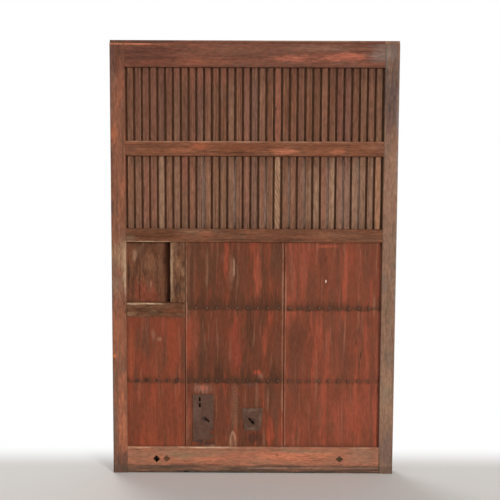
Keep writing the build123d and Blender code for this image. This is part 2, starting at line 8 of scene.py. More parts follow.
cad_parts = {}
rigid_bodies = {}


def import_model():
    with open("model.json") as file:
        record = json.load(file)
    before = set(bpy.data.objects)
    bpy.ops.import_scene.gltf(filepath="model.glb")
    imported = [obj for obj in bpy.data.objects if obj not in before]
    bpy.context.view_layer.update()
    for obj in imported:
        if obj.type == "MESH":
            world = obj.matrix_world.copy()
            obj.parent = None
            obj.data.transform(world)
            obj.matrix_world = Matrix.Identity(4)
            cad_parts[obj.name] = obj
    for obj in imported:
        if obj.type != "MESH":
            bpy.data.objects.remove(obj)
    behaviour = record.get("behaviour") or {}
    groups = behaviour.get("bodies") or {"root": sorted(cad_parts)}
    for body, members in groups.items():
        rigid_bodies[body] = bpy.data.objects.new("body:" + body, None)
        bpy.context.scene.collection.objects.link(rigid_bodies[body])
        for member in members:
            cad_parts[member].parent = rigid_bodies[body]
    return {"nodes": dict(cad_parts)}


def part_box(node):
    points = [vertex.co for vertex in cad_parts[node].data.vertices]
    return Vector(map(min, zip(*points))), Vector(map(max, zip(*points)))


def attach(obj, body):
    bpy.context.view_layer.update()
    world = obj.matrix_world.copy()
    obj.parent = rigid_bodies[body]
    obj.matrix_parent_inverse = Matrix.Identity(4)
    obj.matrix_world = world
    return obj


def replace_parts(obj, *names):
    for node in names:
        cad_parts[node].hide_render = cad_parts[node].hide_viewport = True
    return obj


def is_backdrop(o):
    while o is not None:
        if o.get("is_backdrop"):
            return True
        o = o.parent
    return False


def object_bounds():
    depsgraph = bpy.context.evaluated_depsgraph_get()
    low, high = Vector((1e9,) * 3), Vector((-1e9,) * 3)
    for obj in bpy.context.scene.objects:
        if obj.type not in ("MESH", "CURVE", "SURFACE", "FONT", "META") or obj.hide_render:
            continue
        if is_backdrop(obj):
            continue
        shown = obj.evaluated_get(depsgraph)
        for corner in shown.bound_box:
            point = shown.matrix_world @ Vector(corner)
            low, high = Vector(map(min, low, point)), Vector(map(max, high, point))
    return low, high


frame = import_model()
cad_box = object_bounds()
pieces = frame["nodes"]
bpy.ops.object.select_all(action="DESELECT")


# LEFT STILE
# The left upright of the frame: one long piece of sawn softwood, mortised for the rails and stained
# red-brown, rubbed pale beside the hand pull and grey with dirt at the foot.
def tone(red, green, blue):
    """A colour as the eye sees it, in the shader's linear values."""
    levels = [level / 255 for level in (red, green, blue)]
    return (*[v / 12.92 if v <= 0.04045 else ((v + 0.055) / 1.055) ** 2.4 for v in levels], 1)


def put(tree, kind, inputs=None, **settings):
    """Adds a node with its settings, and links or sets its inputs."""
    made = tree.nodes.new("ShaderNode" + kind)
    for name, value in settings.items():
        setattr(made, name, value)
    for name, value in (inputs or {}).items():
        if isinstance(value, bpy.types.NodeSocket):
            tree.links.new(value, made.inputs[name])
        else:
            made.inputs[name].default_value = value
    return made


def sums(tree, operation, *values):
    return put(tree, "Math", dict(enumerate(values)), operation=operation).outputs[0]


def apart(tree, first, second):
    """How far two values lie apart."""
    return sums(tree, "ABSOLUTE", sums(tree, "SUBTRACT", first, second))


def vectors(tree, operation, *values):
    return put(tree, "VectorMath", dict(enumerate(values)), operation=operation).outputs[0]


def length_of(tree, vector):
    return put(tree, "VectorMath", {0: vector}, operation="LENGTH").outputs["Value"]


def axes(tree, vector):
    """A place as how far across, how far in and how far up it lies."""
    return put(tree, "SeparateXYZ", {0: vector}).outputs


def fade(tree, value, start, end):
    inputs = {"Value": value, "From Min": start, "From Max": end}
    return put(tree, "MapRange", inputs, interpolation_type="SMOOTHSTEP").outputs[0]


def mixed(tree, share, under, over):
    inputs = {0: share, 6: under, 7: over}
    return put(tree, "Mix", inputs, data_type="RGBA", blend_type="MIX").outputs[2]


def stretched(tree, vector, scale, detail=4, roughness=0.55):
    """Noise drawn out along the grain."""
    inputs = {"Vector": vectors(tree, "MULTIPLY", vector, scale), "Scale": 1.0, "Detail": detail}
    return put(tree, "TexNoise", inputs | {"Roughness": roughness, "Distortion": 0.0})


def new_effect(name, takes, gives):
    """A node group for an effect that several finishes share."""
    effect = bpy.data.node_groups.new(name, "ShaderNodeTree")
    for label, kind in takes.items():
        effect.interface.new_socket(label, in_out="INPUT", socket_type="NodeSocket" + kind)
    for label in gives:
        kind = "NodeSocketVector" if label == "Normal" else "NodeSocketFloat"
        effect.interface.new_socket(label, in_out="OUTPUT", socket_type=kind)
    return effect, effect.nodes.new("NodeGroupInput").outputs, effect.nodes.new("NodeGroupOutput").inputs


# Sawn grain: growth rings cut by the saw, fibres, long streaks, blotches and drying cracks along Z
sawn_grain, asked, given = new_effect(
    "sawn grain",
    {"Vector": "Vector", "Heart": "Vector", "Seed": "Float", "Ring": "Float"},
    ("Figure", "Fibre", "Streak", "Blotch", "Crack", "Mottle", "Warm", "Grey"),
)
ring_at_scale_one = 0.314  # how wide the wave texture makes a ring
seeds = put(sawn_grain, "CombineXYZ", {0: asked["Seed"], 1: asked["Seed"], 2: asked["Seed"]}).outputs[0]
seeds = vectors(sawn_grain, "MULTIPLY", seeds, (1.37, 0.61, 2.9))
shifted = vectors(sawn_grain, "ADD", asked["Vector"], seeds)
wander = stretched(sawn_grain, shifted, (4, 4, 0.9), 2).outputs["Color"]
wander = vectors(sawn_grain, "SUBTRACT", wander, (0.5, 0.5, 0.5))
wander = vectors(sawn_grain, "MULTIPLY", wander, (0.05, 0.05, 0))
from_heart = vectors(sawn_grain, "SUBTRACT", asked["Vector"], asked["Heart"])
taper = sums(sawn_grain, "MULTIPLY", axes(sawn_grain, from_heart)[2], 0.05)
taper = put(sawn_grain, "CombineXYZ", {1: taper}).outputs[0]
around_heart = vectors(sawn_grain, "ADD", vectors(sawn_grain, "ADD", from_heart, taper), wander)
ring_scale = sums(sawn_grain, "DIVIDE", ring_at_scale_one, asked["Ring"])
rings = {"Vector": around_heart, "Scale": ring_scale, "Distortion": 0.9, "Detail": 3, "Detail Scale": 1.4}
rings = put(sawn_grain, "TexWave", rings, wave_type="RINGS", rings_direction="Z", wave_profile="SAW")
fibre = stretched(sawn_grain, shifted, (620, 620, 11), 3, 0.6).outputs[0]
streak = stretched(sawn_grain, shifted, (105, 60, 2.3), 5, 0.62).outputs[0]
blotch = stretched(sawn_grain, shifted, (15, 15, 5), 5, 0.6).outputs[0]
split = apart(sawn_grain, stretched(sawn_grain, shifted, (48, 48, 1.5), 2, 0.5).outputs[0], 0.5)
torn = stretched(sawn_grain, shifted, (21, 21, 4), 2).outputs[0]
torn = fade(sawn_grain, torn, 0.56, 0.66)
mottle = stretched(sawn_grain, shifted, (170, 170, 42), 6, 0.7).outputs[0]
warm = vectors(sawn_grain, "ADD", shifted, (3.1, 0.7, 1.9))
warm = stretched(sawn_grain, warm, (30, 30, 8), 6, 0.66).outputs[0]
grey = vectors(sawn_grain, "ADD", shifted, (5.3, 2.2, 0.4))
grey = stretched(sawn_grain, grey, (34, 34, 11), 6, 0.68).outputs[0]
marks_of_grain = {
    "Figure": rings.outputs["Fac"],
    "Fibre": fade(sawn_grain, fibre, 0.3, 0.7),
    "Streak": fade(sawn_grain, streak, 0.36, 0.64),
    "Blotch": fade(sawn_grain, blotch, 0.34, 0.66),
    "Crack": sums(sawn_grain, "MULTIPLY", fade(sawn_grain, split, 0.009, 0.0), torn),
    "Mottle": fade(sawn_grain, mottle, 0.3, 0.7),
    "Warm": fade(sawn_grain, warm, 0.48, 0.66),
    "Grey": fade(sawn_grain, grey, 0.48, 0.66),
}
for label, value in marks_of_grain.items():
    sawn_grain.links.new(value, given[label])

# Worn arris: where a piece's own edges are, with the edge's rounded normal
worn_arris, asked, given = new_effect("worn arris", {"Radius": "Float"}, ("Edge", "Normal"))
rounded = put(worn_arris, "Bevel", {"Radius": asked["Radius"]}, samples=6).outputs[0]
straight = put(worn_arris, "NewGeometry").outputs["True Normal"]
turned = put(worn_arris, "VectorMath", {0: rounded, 1: straight}, operation="DOT_PRODUCT").outputs["Value"]
worn_arris.links.new(fade(worn_arris, turned, 0.99, 0.82), given["Edge"])
worn_arris.links.new(rounded, given["Normal"])

# Stain and painted light: a soft patch with a ragged rim, at a place on the face, for real stains and for
# painted light and shade
stain_and_painted_light, asked, given = new_effect(
    "stain_and_painted_light",
    {
        "Vector": "Vector", "Ragged": "Float", "Middle": "Vector", "Half": "Vector",
        "Soft": "Float", "Wobble": "Float",
    },
    ("Mask",),
)
away = vectors(stain_and_painted_light, "MULTIPLY", vectors(stain_and_painted_light, "SUBTRACT", asked["Vector"], asked["Middle"]), (1, 0, 1))
away = length_of(stain_and_painted_light, vectors(stain_and_painted_light, "DIVIDE", away, asked["Half"]))
away = sums(stain_and_painted_light, "MULTIPLY_ADD", sums(stain_and_painted_light, "SUBTRACT", asked["Ragged"], 0.5), asked["Wobble"], away)
stain_and_painted_light.links.new(fade(stain_and_painted_light, away, 1.0, sums(stain_and_painted_light, "SUBTRACT", 1.0, asked["Soft"])), given["Mask"])


def stain_and_painted_light_mask(tree, place, ragged, at, half, soft, wobble):
    """Where a patch of stain or of painted light and shade lies: about a middle (x, z), as far as its half
    width and half height.
    """
    inputs = {"Vector": place, "Ragged": ragged, "Soft": soft, "Wobble": wobble}
    inputs |= {"Middle": (at[0], 0, at[1]), "Half": (half[0], 1, half[1])}
    return put(tree, "Group", inputs, node_tree=stain_and_painted_light).outputs["Mask"]


def new_finish(name):
    finish = bpy.data.materials.new(name)
    finish.use_nodes = True
    finish.node_tree.nodes.clear()
    return finish


def lay_on(finish, *named):
    """Gives the named pieces a finish in place of the plain one."""
    for name in named:
        pieces[name].data.materials.clear()
        pieces[name].data.materials.append(finish)


def front_of(node):
    """How far forward a piece's face stands."""
    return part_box(node)[0].y


class WoodCoat:
    """The finish of one piece of old wood, built up from the bare grain outwards."""

    # How far behind a piece's front its face ends and its back begins
    face_ends, back_begins = 0.004, 0.009

    def __init__(self, name, pale, dark, streaked, front=None, along="Z", seed=1.0, ring=0.006,
                 heart=(0, 0.05, 0), warm=None, grey=None, contrast=0.75, stripe=0.5, mottle=0.5,
                 raised=0.0006):
        self.finish = new_finish(name)
        self.tree = self.finish.node_tree
        self.place = put(self.tree, "TexCoord").outputs["Object"]
        self.run = self.place
        if along == "X":
            turn = {"Vector": self.place, "Rotation": (0, math.pi / 2, 0)}
            self.run = put(self.tree, "Mapping", turn).outputs[0]
        self.seed, self.ring, self.heart, self.raised = seed, ring, heart, raised
        self.warm, self.grey, self.stripe, self.mottle, self.front = warm, grey, stripe, mottle, front
        self.start(pale, dark, streaked, contrast)

    def start(self, pale, dark, streaked, contrast):
        """Lays the bare grain."""
        tree = self.tree
        grain = {"Vector": self.run, "Heart": self.heart, "Seed": self.seed, "Ring": self.ring}
        self.grain = grain = put(tree, "Group", grain, node_tree=sawn_grain).outputs
        lines = sums(tree, "MULTIPLY", grain["Fibre"], 0.55)
        lines = sums(tree, "MULTIPLY_ADD", grain["Figure"], 0.45, lines)
        self.lines = sums(tree, "MULTIPLY_ADD", lines, -contrast, 0.5 + contrast / 2)
        self.colour = mixed(tree, self.lines, tone(*dark), tone(*pale))
        share = sums(tree, "MULTIPLY", grain["Streak"], self.stripe)
        self.colour = mixed(tree, share, self.colour, tone(*streaked))
        for patches, label in ((self.warm, "Warm"), (self.grey, "Grey")):
            if patches is not None:
                colour, strength = patches
                share = sums(tree, "MULTIPLY", grain[label], strength)
                self.colour = mixed(tree, share, self.colour, tone(*colour))
        self.ragged = stretched(tree, self.run, (40, 40, 9), 7, 0.7).outputs[0]
        self.ragged = fade(tree, self.ragged, 0.25, 0.75)
        self.torn = stretched(tree, self.run, (110, 110, 7), 4, 0.6).outputs[0]
        self.torn = sums(tree, "MULTIPLY_ADD", fade(tree, self.torn, 0.35, 0.62), 0.5, 0.5)
        if self.front is not None:
            inward = axes(tree, self.place)[1]
            self.face = fade(tree, inward, self.front + self.back_begins, self.front + self.face_ends)
        self.height = sums(tree, "MULTIPLY_ADD", grain["Figure"], 0.35, grain["Fibre"])
        self.wear = None

    def wash(self, mask, colour, strength, deep=False):
        """A colour over part of the face or, when deep, of what lies behind the face."""
        share = sums(self.tree, "MULTIPLY", mask, strength)
        if self.front is not None:
            side = sums(self.tree, "SUBTRACT", 1.0, self.face) if deep else self.face
            share = sums(self.tree, "MULTIPLY", share, side)
        self.colour = mixed(self.tree, share, self.colour, tone(*colour))

    def dab(self, at, half, colour, strength, soft=0.8, wobble=0.9, deep=False):
        """One patch of stain, wear or painted light and shade, about a middle (x, z), as far as its half
        width and half height.
        """
        mask = stain_and_painted_light_mask(self.tree, self.place, self.ragged, at, half, soft, wobble)
        if wobble:
            mask = sums(self.tree, "MULTIPLY", mask, self.torn)
        self.wash(mask, colour, strength, deep)

    def dabs(self, *marks, deep=False):
        for mark in marks:
            self.dab(*mark, deep=deep)

    def streaks(self, colour, strength, width, length, levels, seed, deep=False):
        """Streaks along the grain, where a drawn-out noise rises from one level to another."""
        moved = vectors(self.tree, "ADD", self.run, (seed * 0.71, seed * 0.37, seed * 1.93))
        lines = stretched(self.tree, moved, (1 / width, 0.5 / width, 1 / length), 3, 0.5).outputs[0]
        self.wash(fade(self.tree, lines, *levels), colour, strength, deep)

    def bare_back(self, pale, dark, behind, grey=(124, 104, 88)):
        """Leaves the wood behind a depth unstained and brown with age."""
        tree = self.tree
        aged = mixed(tree, self.lines, tone(*dark), tone(*pale))
        aged = mixed(tree, sums(tree, "MULTIPLY", self.grain["Streak"], 0.4), aged, tone(*dark))
        aged = mixed(tree, sums(tree, "MULTIPLY", self.grain["Grey"], 0.5), aged, tone(*grey))
        inward = axes(tree, self.place)[1]
        inward = sums(tree, "MULTIPLY_ADD", sums(tree, "SUBTRACT", self.ragged, 0.5), 0.008, inward)
        self.colour = mixed(tree, fade(tree, inward, behind, behind + 0.004), self.colour, aged)

    def rub(self, colour, radius, strength):
        """Rubs the arrises pale, more in some places than in others."""
        edge = put(self.tree, "Group", {"Radius": radius}, node_tree=worn_arris).outputs
        self.wear = edge["Normal"]
        share = sums(self.tree, "MULTIPLY", edge["Edge"], fade(self.tree, self.ragged, 0.15, 0.7))
        share = sums(self.tree, "MULTIPLY", share, strength)
        self.colour = mixed(self.tree, share, self.colour, tone(*colour))

    def done(self, *named):
        """Opens the cracks, raises the grain and lays the finish on the named pieces."""
        tree, grain = self.tree, self.grain
        crack = sums(tree, "MULTIPLY", grain["Crack"], 0.75)
        self.colour = mixed(tree, crack, self.colour, tone(38, 24, 17))
        worn = sums(tree, "MULTIPLY_ADD", grain["Mottle"], self.mottle, 1 - self.mottle / 2)
        worn = {0: self.colour, "Scale": worn}
        self.colour = put(tree, "VectorMath", worn, operation="SCALE").outputs[0]
        self.height = sums(tree, "SUBTRACT", self.height, sums(tree, "MULTIPLY", grain["Crack"], 1.6))
        bump = {"Height": self.height, "Distance": self.raised, "Strength": 0.8}
        if self.wear is not None:
            bump["Normal"] = self.wear
        bump = put(tree, "Bump", bump).outputs[0]
        dull = sums(tree, "MULTIPLY_ADD", grain["Fibre"], 0.08, 0.62)
        dull = sums(tree, "MULTIPLY_ADD", grain["Blotch"], 0.14, dull)
        body = {"Base Color": self.colour, "Roughness": dull, "Normal": bump, "Specular IOR Level": 0.08}
        put(tree, "OutputMaterial", {0: put(tree, "BsdfPrincipled", body).outputs[0]})
        lay_on(self.finish, *named)


left_stile = WoodCoat(
    "left stile wood", pale=(150, 99, 76), dark=(98, 62, 47), streaked=(130, 81, 59),
    front=front_of("left_stile"), seed=1.3, ring=0.004, heart=(-0.8, 0.2, 0.9),
    warm=((166, 100, 70), 0.55), grey=((116, 86, 70), 0.6),
)
left_stile.streaks((100, 68, 53), 0.6, width=0.014, length=0.4, levels=(0.5, 0.66), seed=4.0)
left_stile.dabs(
    # Sooty head, grey at the outer arris, with a pale line below the tongue
    ((-0.546, 1.70), (0.07, 0.12), (84, 52, 41), 0.85),
    ((-0.572, 1.66), (0.02, 0.22), (104, 76, 70), 0.7),
    ((-0.546, 1.7385), (0.06, 0.0045), (196, 122, 90), 0.85, 0.6, 0.5),
)
# The tongue above that line is dark
left_stile.dab((-0.55, 1.75), (0.09, 0.01), (80, 58, 48), 0.8, 0.5, 0.4, deep=True)
left_stile.dabs(
    # Red and brown patches beside the lattice
    ((-0.535, 1.58), (0.018, 0.13), (150, 88, 65), 0.5),
    ((-0.562, 1.39), (0.02, 0.05), (168, 98, 68), 0.7),
    ((-0.55, 1.24), (0.04, 0.14), (128, 80, 60), 0.5),
    ((-0.57, 1.1), (0.012, 0.04), (74, 56, 46), 0.75),
    # Rubbed pale beside the hand pull
    ((-0.54, 0.90), (0.07, 0.09), (160, 128, 100), 0.75),
    ((-0.546, 0.79), (0.05, 0.08), (138, 108, 87), 0.75),
    ((-0.562, 0.86), (0.016, 0.05), (108, 84, 68), 0.7),
    ((-0.528, 0.87), (0.012, 0.09), (164, 132, 104), 0.5, 0.8, 1.0),
    ((-0.519, 0.83), (0.010, 0.15), (174, 145, 117), 0.9, 0.7, 0.8),
    # Orange below the pull, dark at the outer arris
    ((-0.572, 0.72), (0.014, 0.05), (96, 74, 62), 0.7),
    ((-0.545, 0.58), (0.05, 0.16), (156, 94, 68), 0.6),
    ((-0.568, 0.487), (0.012, 0.012), (204, 118, 74), 0.85),
    ((-0.535, 0.22), (0.024, 0.24), (176, 104, 75), 0.75),
    # Grey and dark at the foot
    ((-0.575, 0.19), (0.018, 0.34), (102, 86, 74), 0.85),
    ((-0.55, 0.03), (0.09, 0.09), (84, 64, 54), 0.9),
    ((-0.55, 0.012), (0.3, 0.026), (84, 66, 55), 0.9, 0.45, 0.6),
)
left_stile.bare_back(pale=(152, 114, 86), dark=(94, 66, 48), behind=0.01)
left_stile.dabs(
    # The back: a paler middle, a dark foot and a dark head
    ((-0.55, 0.95), (0.06, 0.2), (172, 136, 106), 0.6),
    ((-0.55, 0.02), (0.09, 0.09), (82, 65, 54), 0.9, 0.6, 0.9),
    ((-0.55, 1.7), (0.09, 0.1), (92, 68, 54), 0.7),
    deep=True,
)
left_stile.rub((166, 126, 98), radius=0.004, strength=0.6)
# The joint with the top rail, too tight to be rubbed
left_stile.dab((-0.517, 1.69), (0.012, 0.06), (104, 64, 50), 0.9, 0.4, 0.3)
left_stile.done("left_stile")


# RIGHT STILE
# The right upright, cut from the same timber and mortised for the rails. It has lost most of its
# stain: grey-violet at the top, tan and grey lower down, dark at the foot.
right_stile = WoodCoat(
    "right stile wood", pale=(156, 120, 97), dark=(104, 78, 63), streaked=(135, 100, 80),
    front=front_of("right_stile"), seed=5.1, ring=0.004, heart=(1.3, 0.25, 0.9),
    warm=((156, 112, 86), 0.55), grey=((112, 96, 84), 0.6),
)
right_stile.streaks((108, 82, 66), 0.5, width=0.016, length=0.12, levels=(0.5, 0.64), seed=7.0)
right_stile.dabs(
    # Grey-violet head, paler at the top
    ((0.546, 1.57), (0.08, 0.27), (86, 68, 64), 0.9),
    ((0.53, 1.702), (0.06, 0.05), (128, 112, 104), 0.8, 1.0, 0.5),
    ((0.546, 1.748), (0.06, 0.006), (120, 88, 72), 0.7),
    # Grey outer arris, brown and tan inside it
    ((0.575, 1.45), (0.014, 0.3), (138, 120, 114), 0.7),
    ((0.535, 1.4), (0.02, 0.06), (120, 84, 72), 0.6),
    ((0.545, 1.13), (0.05, 0.22), (154, 116, 92), 0.55),
    ((0.577, 0.95), (0.014, 0.5), (128, 114, 104), 0.7),
    # Tan and grey patches lower down
    ((0.54, 0.7), (0.02, 0.05), (118, 100, 76), 0.55),
    ((0.54, 0.33), (0.05, 0.17), (162, 126, 100), 0.6),
    ((0.55, 0.33), (0.03, 0.06), (124, 110, 88), 0.5),
    # Dark foot
    ((0.55, 0.09), (0.05, 0.1), (106, 84, 78), 0.7),
    ((0.55, 0.012), (0.3, 0.026), (86, 70, 60), 0.9, 0.45, 0.6),
)
right_stile.bare_back(pale=(150, 118, 92), dark=(98, 72, 55), behind=0.01)
right_stile.dabs(
    # The back: grey in the middle, dark at the foot
    ((0.55, 0.6), (0.06, 0.3), (128, 110, 94), 0.6),
    ((0.55, 0.02), (0.09, 0.1), (80, 66, 56), 0.9, 0.6, 0.9),
    deep=True,
)
right_stile.rub((172, 140, 116), radius=0.004, strength=0.55)
# The joint with the top rail, too tight to be rubbed
right_stile.dab((0.517, 1.69), (0.012, 0.06), (122, 106, 98), 0.9, 0.4, 0.3)
right_stile.done("right_stile")


# TOP RAIL
# The head of the frame, tenoned into both stiles, with a tongue on top that runs in the lintel's
# groove. The stain is dark on the left, rubbed orange right of the middle and grey at the right end.
top_rail = WoodCoat(
    "top rail wood", pale=(138, 88, 69), dark=(88, 53, 41), streaked=(118, 70, 54),
    front=front_of("top_rail"), along="X", seed=2.2, ring=0.005, heart=(1.45, 0.12, 0),
    warm=((148, 86, 63), 0.45), grey=((102, 74, 62), 0.5), contrast=0.5, stripe=0.35,
)
top_rail.streaks((84, 54, 43), 0.6, width=0.012, length=0.25, levels=(0.5, 0.66), seed=2.0)
top_rail.dabs(
    # Sooty left end, with a pale line below the tongue
    ((-0.44, 1.69), (0.24, 0.08), (88, 53, 42), 0.9),
    ((-0.46, 1.7385), (0.15, 0.0045), (200, 122, 90), 0.9, 0.6, 0.5),
)
# The tongue above that line is dark
top_rail.dab((-0.46, 1.75), (0.22, 0.01), (80, 58, 48), 0.85, 0.5, 0.4, deep=True)
top_rail.dabs(
    # Brown and red towards the middle
    ((-0.42, 1.668), (0.14, 0.014), (138, 78, 58), 0.45),
    ((-0.08, 1.72), (0.2, 0.03), (128, 86, 67), 0.55),
    ((-0.2, 1.67), (0.16, 0.022), (142, 84, 62), 0.6),
    # Rubbed orange right of the middle
    ((0.16, 1.684), (0.1, 0.02), (176, 102, 78), 0.95),
    ((0.36, 1.69), (0.14, 0.022), (172, 98, 76), 0.95),
    ((0.27, 1.722), (0.22, 0.018), (134, 96, 78), 0.65),
    # Grey right end
    ((0.505, 1.702), (0.085, 0.05), (130, 112, 103), 0.9, 1.0, 0.5),
)
top_rail.dabs(
    # The tongue further right: a dark root and a pale top
    ((0.15, 1.744), (0.5, 0.005), (84, 60, 48), 0.8, 0.5, 0.4),
    ((0.15, 1.753), (0.5, 0.004), (164, 130, 104), 0.8, 0.6, 0.8),
    deep=True,
)
# Dark lower edge
top_rail.dab((0.0, 1.652), (0.7, 0.007), (96, 60, 46), 0.6)
top_rail.bare_back(pale=(142, 104, 79), dark=(88, 62, 46), behind=0.01)
# A dark patch on the back
top_rail.dab((0.1, 1.7), (0.3, 0.04), (108, 80, 62), 0.7, deep=True)
top_rail.rub((156, 112, 88), radius=0.003, strength=0.55)
top_rail.done("top_rail")


# UPPER MIDDLE RAIL
# A thin softwood rail, tenoned into the stiles and combed from behind over the slats. Its stain is
# rubbed to orange in patches, and its top arris is pale.
upper_rail = WoodCoat(
    "upper rail wood", pale=(148, 94, 68), dark=(90, 52, 34), streaked=(122, 74, 50),
    front=front_of("upper_middle_rail"), along="X", seed=3.4, ring=0.005, heart=(1.1, 0.1, 0),
    warm=((150, 92, 66), 0.5), grey=((108, 76, 58), 0.5),
)
upper_rail.streaks((86, 52, 36), 0.6, width=0.008, length=0.2, levels=(0.5, 0.64), seed=5.0)
upper_rail.dabs(
    # Orange and brown patches along the face
    ((-0.215, 1.339), (0.055, 0.02), (156, 86, 58), 0.95),
    ((-0.3, 1.32), (0.07, 0.014), (150, 90, 64), 0.65),
    ((-0.06, 1.33), (0.1, 0.022), (112, 62, 40), 0.6),
    ((0.115, 1.32), (0.08, 0.016), (180, 110, 80), 0.95),
    ((0.335, 1.319), (0.05, 0.014), (174, 104, 74), 0.9),
    ((0.47, 1.335), (0.06, 0.02), (142, 96, 74), 0.6),
    ((-0.49, 1.33), (0.03, 0.03), (104, 70, 54), 0.6),
    # Pale top arris and dark lower one
    ((0.0, 1.357), (0.9, 0.006), (172, 130, 104), 0.7),
    ((0.0, 1.3), (0.9, 0.005), (92, 56, 40), 0.6),
)
upper_rail.rub((164, 122, 98), radius=0.003, strength=0.6)
upper_rail.done("upper_middle_rail")


# LOWER MIDDLE RAIL
# The rail between the lattice and the boards, tenoned into the stiles. It is the dirtiest rail:
# hands have left it dark brown, with a few orange rubbed spots.
lower_rail = WoodCoat(
    "lower rail wood", pale=(132, 85, 61), dark=(78, 46, 30), streaked=(106, 64, 44),
    front=front_of("lower_middle_rail"), along="X", seed=4.6, ring=0.005, heart=(0.8, 0.1, 0),
    warm=((142, 90, 66), 0.5), grey=((104, 80, 62), 0.5),
)
lower_rail.streaks((82, 52, 37), 0.6, width=0.008, length=0.2, levels=(0.5, 0.64), seed=3.0)
lower_rail.dabs(
    # Dark left half, with small rubbed spots
    ((-0.4, 0.98), (0.16, 0.03), (84, 49, 29), 0.8),
    ((-0.5, 0.965), (0.04, 0.02), (122, 96, 74), 0.7),
    ((-0.19, 0.988), (0.035, 0.011), (156, 90, 64), 0.5),
    ((-0.25, 0.997), (0.09, 0.006), (154, 114, 88), 0.55),
    # Browner right half
    ((0.34, 0.985), (0.18, 0.018), (134, 92, 70), 0.65),
    # Dark lower edge, pale above the hand pull
    ((0.05, 0.966), (0.3, 0.01), (84, 50, 35), 0.65),
    ((-0.42, 0.956), (0.12, 0.006), (176, 142, 112), 0.95),
)
lower_rail.bare_back(pale=(156, 116, 88), dark=(98, 68, 50), behind=0.01)
# A pale patch on the back
lower_rail.dab((-0.2, 0.99), (0.3, 0.02), (170, 136, 108), 0.6, deep=True)
lower_rail.rub((154, 114, 90), radius=0.003, strength=0.55)
lower_rail.done("lower_middle_rail")


# BOTTOM RAIL
# The sill of the frame, grooved underneath for the track and slotted for the wheels. The stain has
# washed to a pinkish orange; the top arris is rubbed bare and the foot is dark and ragged from wet.
bottom_rail = WoodCoat(
    "bottom rail wood", pale=(176, 115, 89), dark=(136, 85, 64), streaked=(160, 101, 76),
    front=front_of("bottom_rail"), along="X", seed=6.3, ring=0.006, heart=(-0.2, 0.12, 0),
    warm=((180, 107, 79), 0.5), grey=((144, 108, 84), 0.5), contrast=0.4, stripe=0.25,
)
bottom_rail.streaks((130, 98, 76), 0.4, width=0.022, length=0.06, levels=(0.52, 0.68), seed=3.0)
bottom_rail.streaks((122, 80, 60), 0.35, width=0.006, length=0.08, levels=(0.56, 0.7), seed=6.0)
bottom_rail.dabs(
    # Tan on the left, orange in the middle, grey-brown on the right
    ((-0.29, 0.082), (0.2, 0.03), (140, 110, 84), 0.9),
    ((-0.47, 0.07), (0.06, 0.04), (140, 98, 75), 0.75),
    ((-0.2, 0.058), (0.09, 0.014), (186, 114, 84), 0.6),
    ((0.16, 0.07), (0.28, 0.026), (194, 117, 86), 0.8),
    ((0.1, 0.075), (0.004, 0.02), (110, 70, 52), 0.7),
    ((0.46, 0.07), (0.1, 0.04), (140, 104, 84), 0.85),
    # Red and brown lines over the foot
    ((-0.2, 0.036), (0.16, 0.008), (120, 66, 52), 0.6),
    ((0.1, 0.035), (0.3, 0.006), (136, 82, 64), 0.5),
    # Wet foot, with a pale line of dust on the right
    ((0.0, 0.012), (1.6, 0.026), (88, 69, 56), 0.98, 0.35, 0.4),
    ((0.25, 0.021), (0.5, 0.004), (146, 112, 98), 0.8, 0.7, 0.8),
    ((0.0, 0.002), (1.6, 0.012), (68, 58, 49), 0.9),
    # Top arris, pale in places, with a dark line below
    ((0.0, 0.108), (1.2, 0.006), (150, 116, 92), 0.4, 0.7, 1.8),
    ((0.2, 0.094), (0.14, 0.01), (136, 108, 86), 0.7, 0.8, 1.4),
    ((-0.19, 0.108), (0.14, 0.0045), (206, 172, 142), 0.8, 0.6, 1.2),
    ((-0.45, 0.107), (0.07, 0.0045), (196, 150, 120), 0.6, 0.6, 1.8),
    ((0.45, 0.107), (0.07, 0.0045), (190, 158, 130), 0.65, 0.6, 1.6),
    ((-0.2, 0.097), (0.4, 0.005), (112, 82, 62), 0.8, 0.8, 1.4),
    # A dark nick in the lower edge
    ((-0.275, 0.004), (0.012, 0.008), (30, 22, 18), 0.9, 0.5, 1.0),
)
# Painted shade inside the open mortise, near black like a deep hole
bottom_rail.dab((-0.398, 0.058), (0.021, 0.019), (14, 10, 8), 1.0, 0.3, 0.0, deep=True)
bottom_rail.bare_back(pale=(146, 114, 90), dark=(94, 70, 54), behind=0.01)
# The back is as dark at the foot
bottom_rail.dab((0.0, 0.01), (1.6, 0.05), (84, 67, 55), 0.9, 0.6, 1.0, deep=True)
bottom_rail.rub((174, 136, 108), radius=0.004, strength=0.25)
bottom_rail.done("bottom_rail")


# LATTICE BACK BOARDS
# Four thin softwood boards stand in grooves of the frame and close the lattice from behind. They
# were never stained and have gone brown with age, with pale dust between the lower slats.
class RowCoat(WoodCoat):
    """One finish for a row of like pieces, each with its own grain and its own brown."""

    def __init__(self, name, pale, dark, streaked, left, pitch, **settings):
        self.left, self.pitch = left, pitch
        super().__init__(name, pale, dark, streaked, **settings)

    def start(self, pale, dark, streaked, contrast):
        """Lays the bare grain, moved on from one piece to the next."""
        tree = self.tree
        across = axes(tree, self.place)[0]
        count = sums(tree, "DIVIDE", sums(tree, "SUBTRACT", across, self.left), self.pitch)
        count = sums(tree, "FLOOR", count)
        chance = put(tree, "TexWhiteNoise", {"W": count}, noise_dimensions="1D").outputs
        self.own = [chance["Value"], *axes(tree, chance["Color"])]
        jump = put(tree, "CombineXYZ", {0: count, 2: sums(tree, "MULTIPLY", count, 3.7)}).outputs[0]
        self.run = vectors(tree, "ADD", self.place, jump)
        super().start(pale, dark, streaked, contrast)

    def vary(self, *browns):
        """Shifts each piece of the row by chance towards some of the browns."""
        for share, (colour, most) in zip(self.own, browns):
            share = sums(self.tree, "MULTIPLY", fade(self.tree, share, 0.3, 1.0), most)
            self.colour = mixed(self.tree, share, self.colour, tone(*colour))


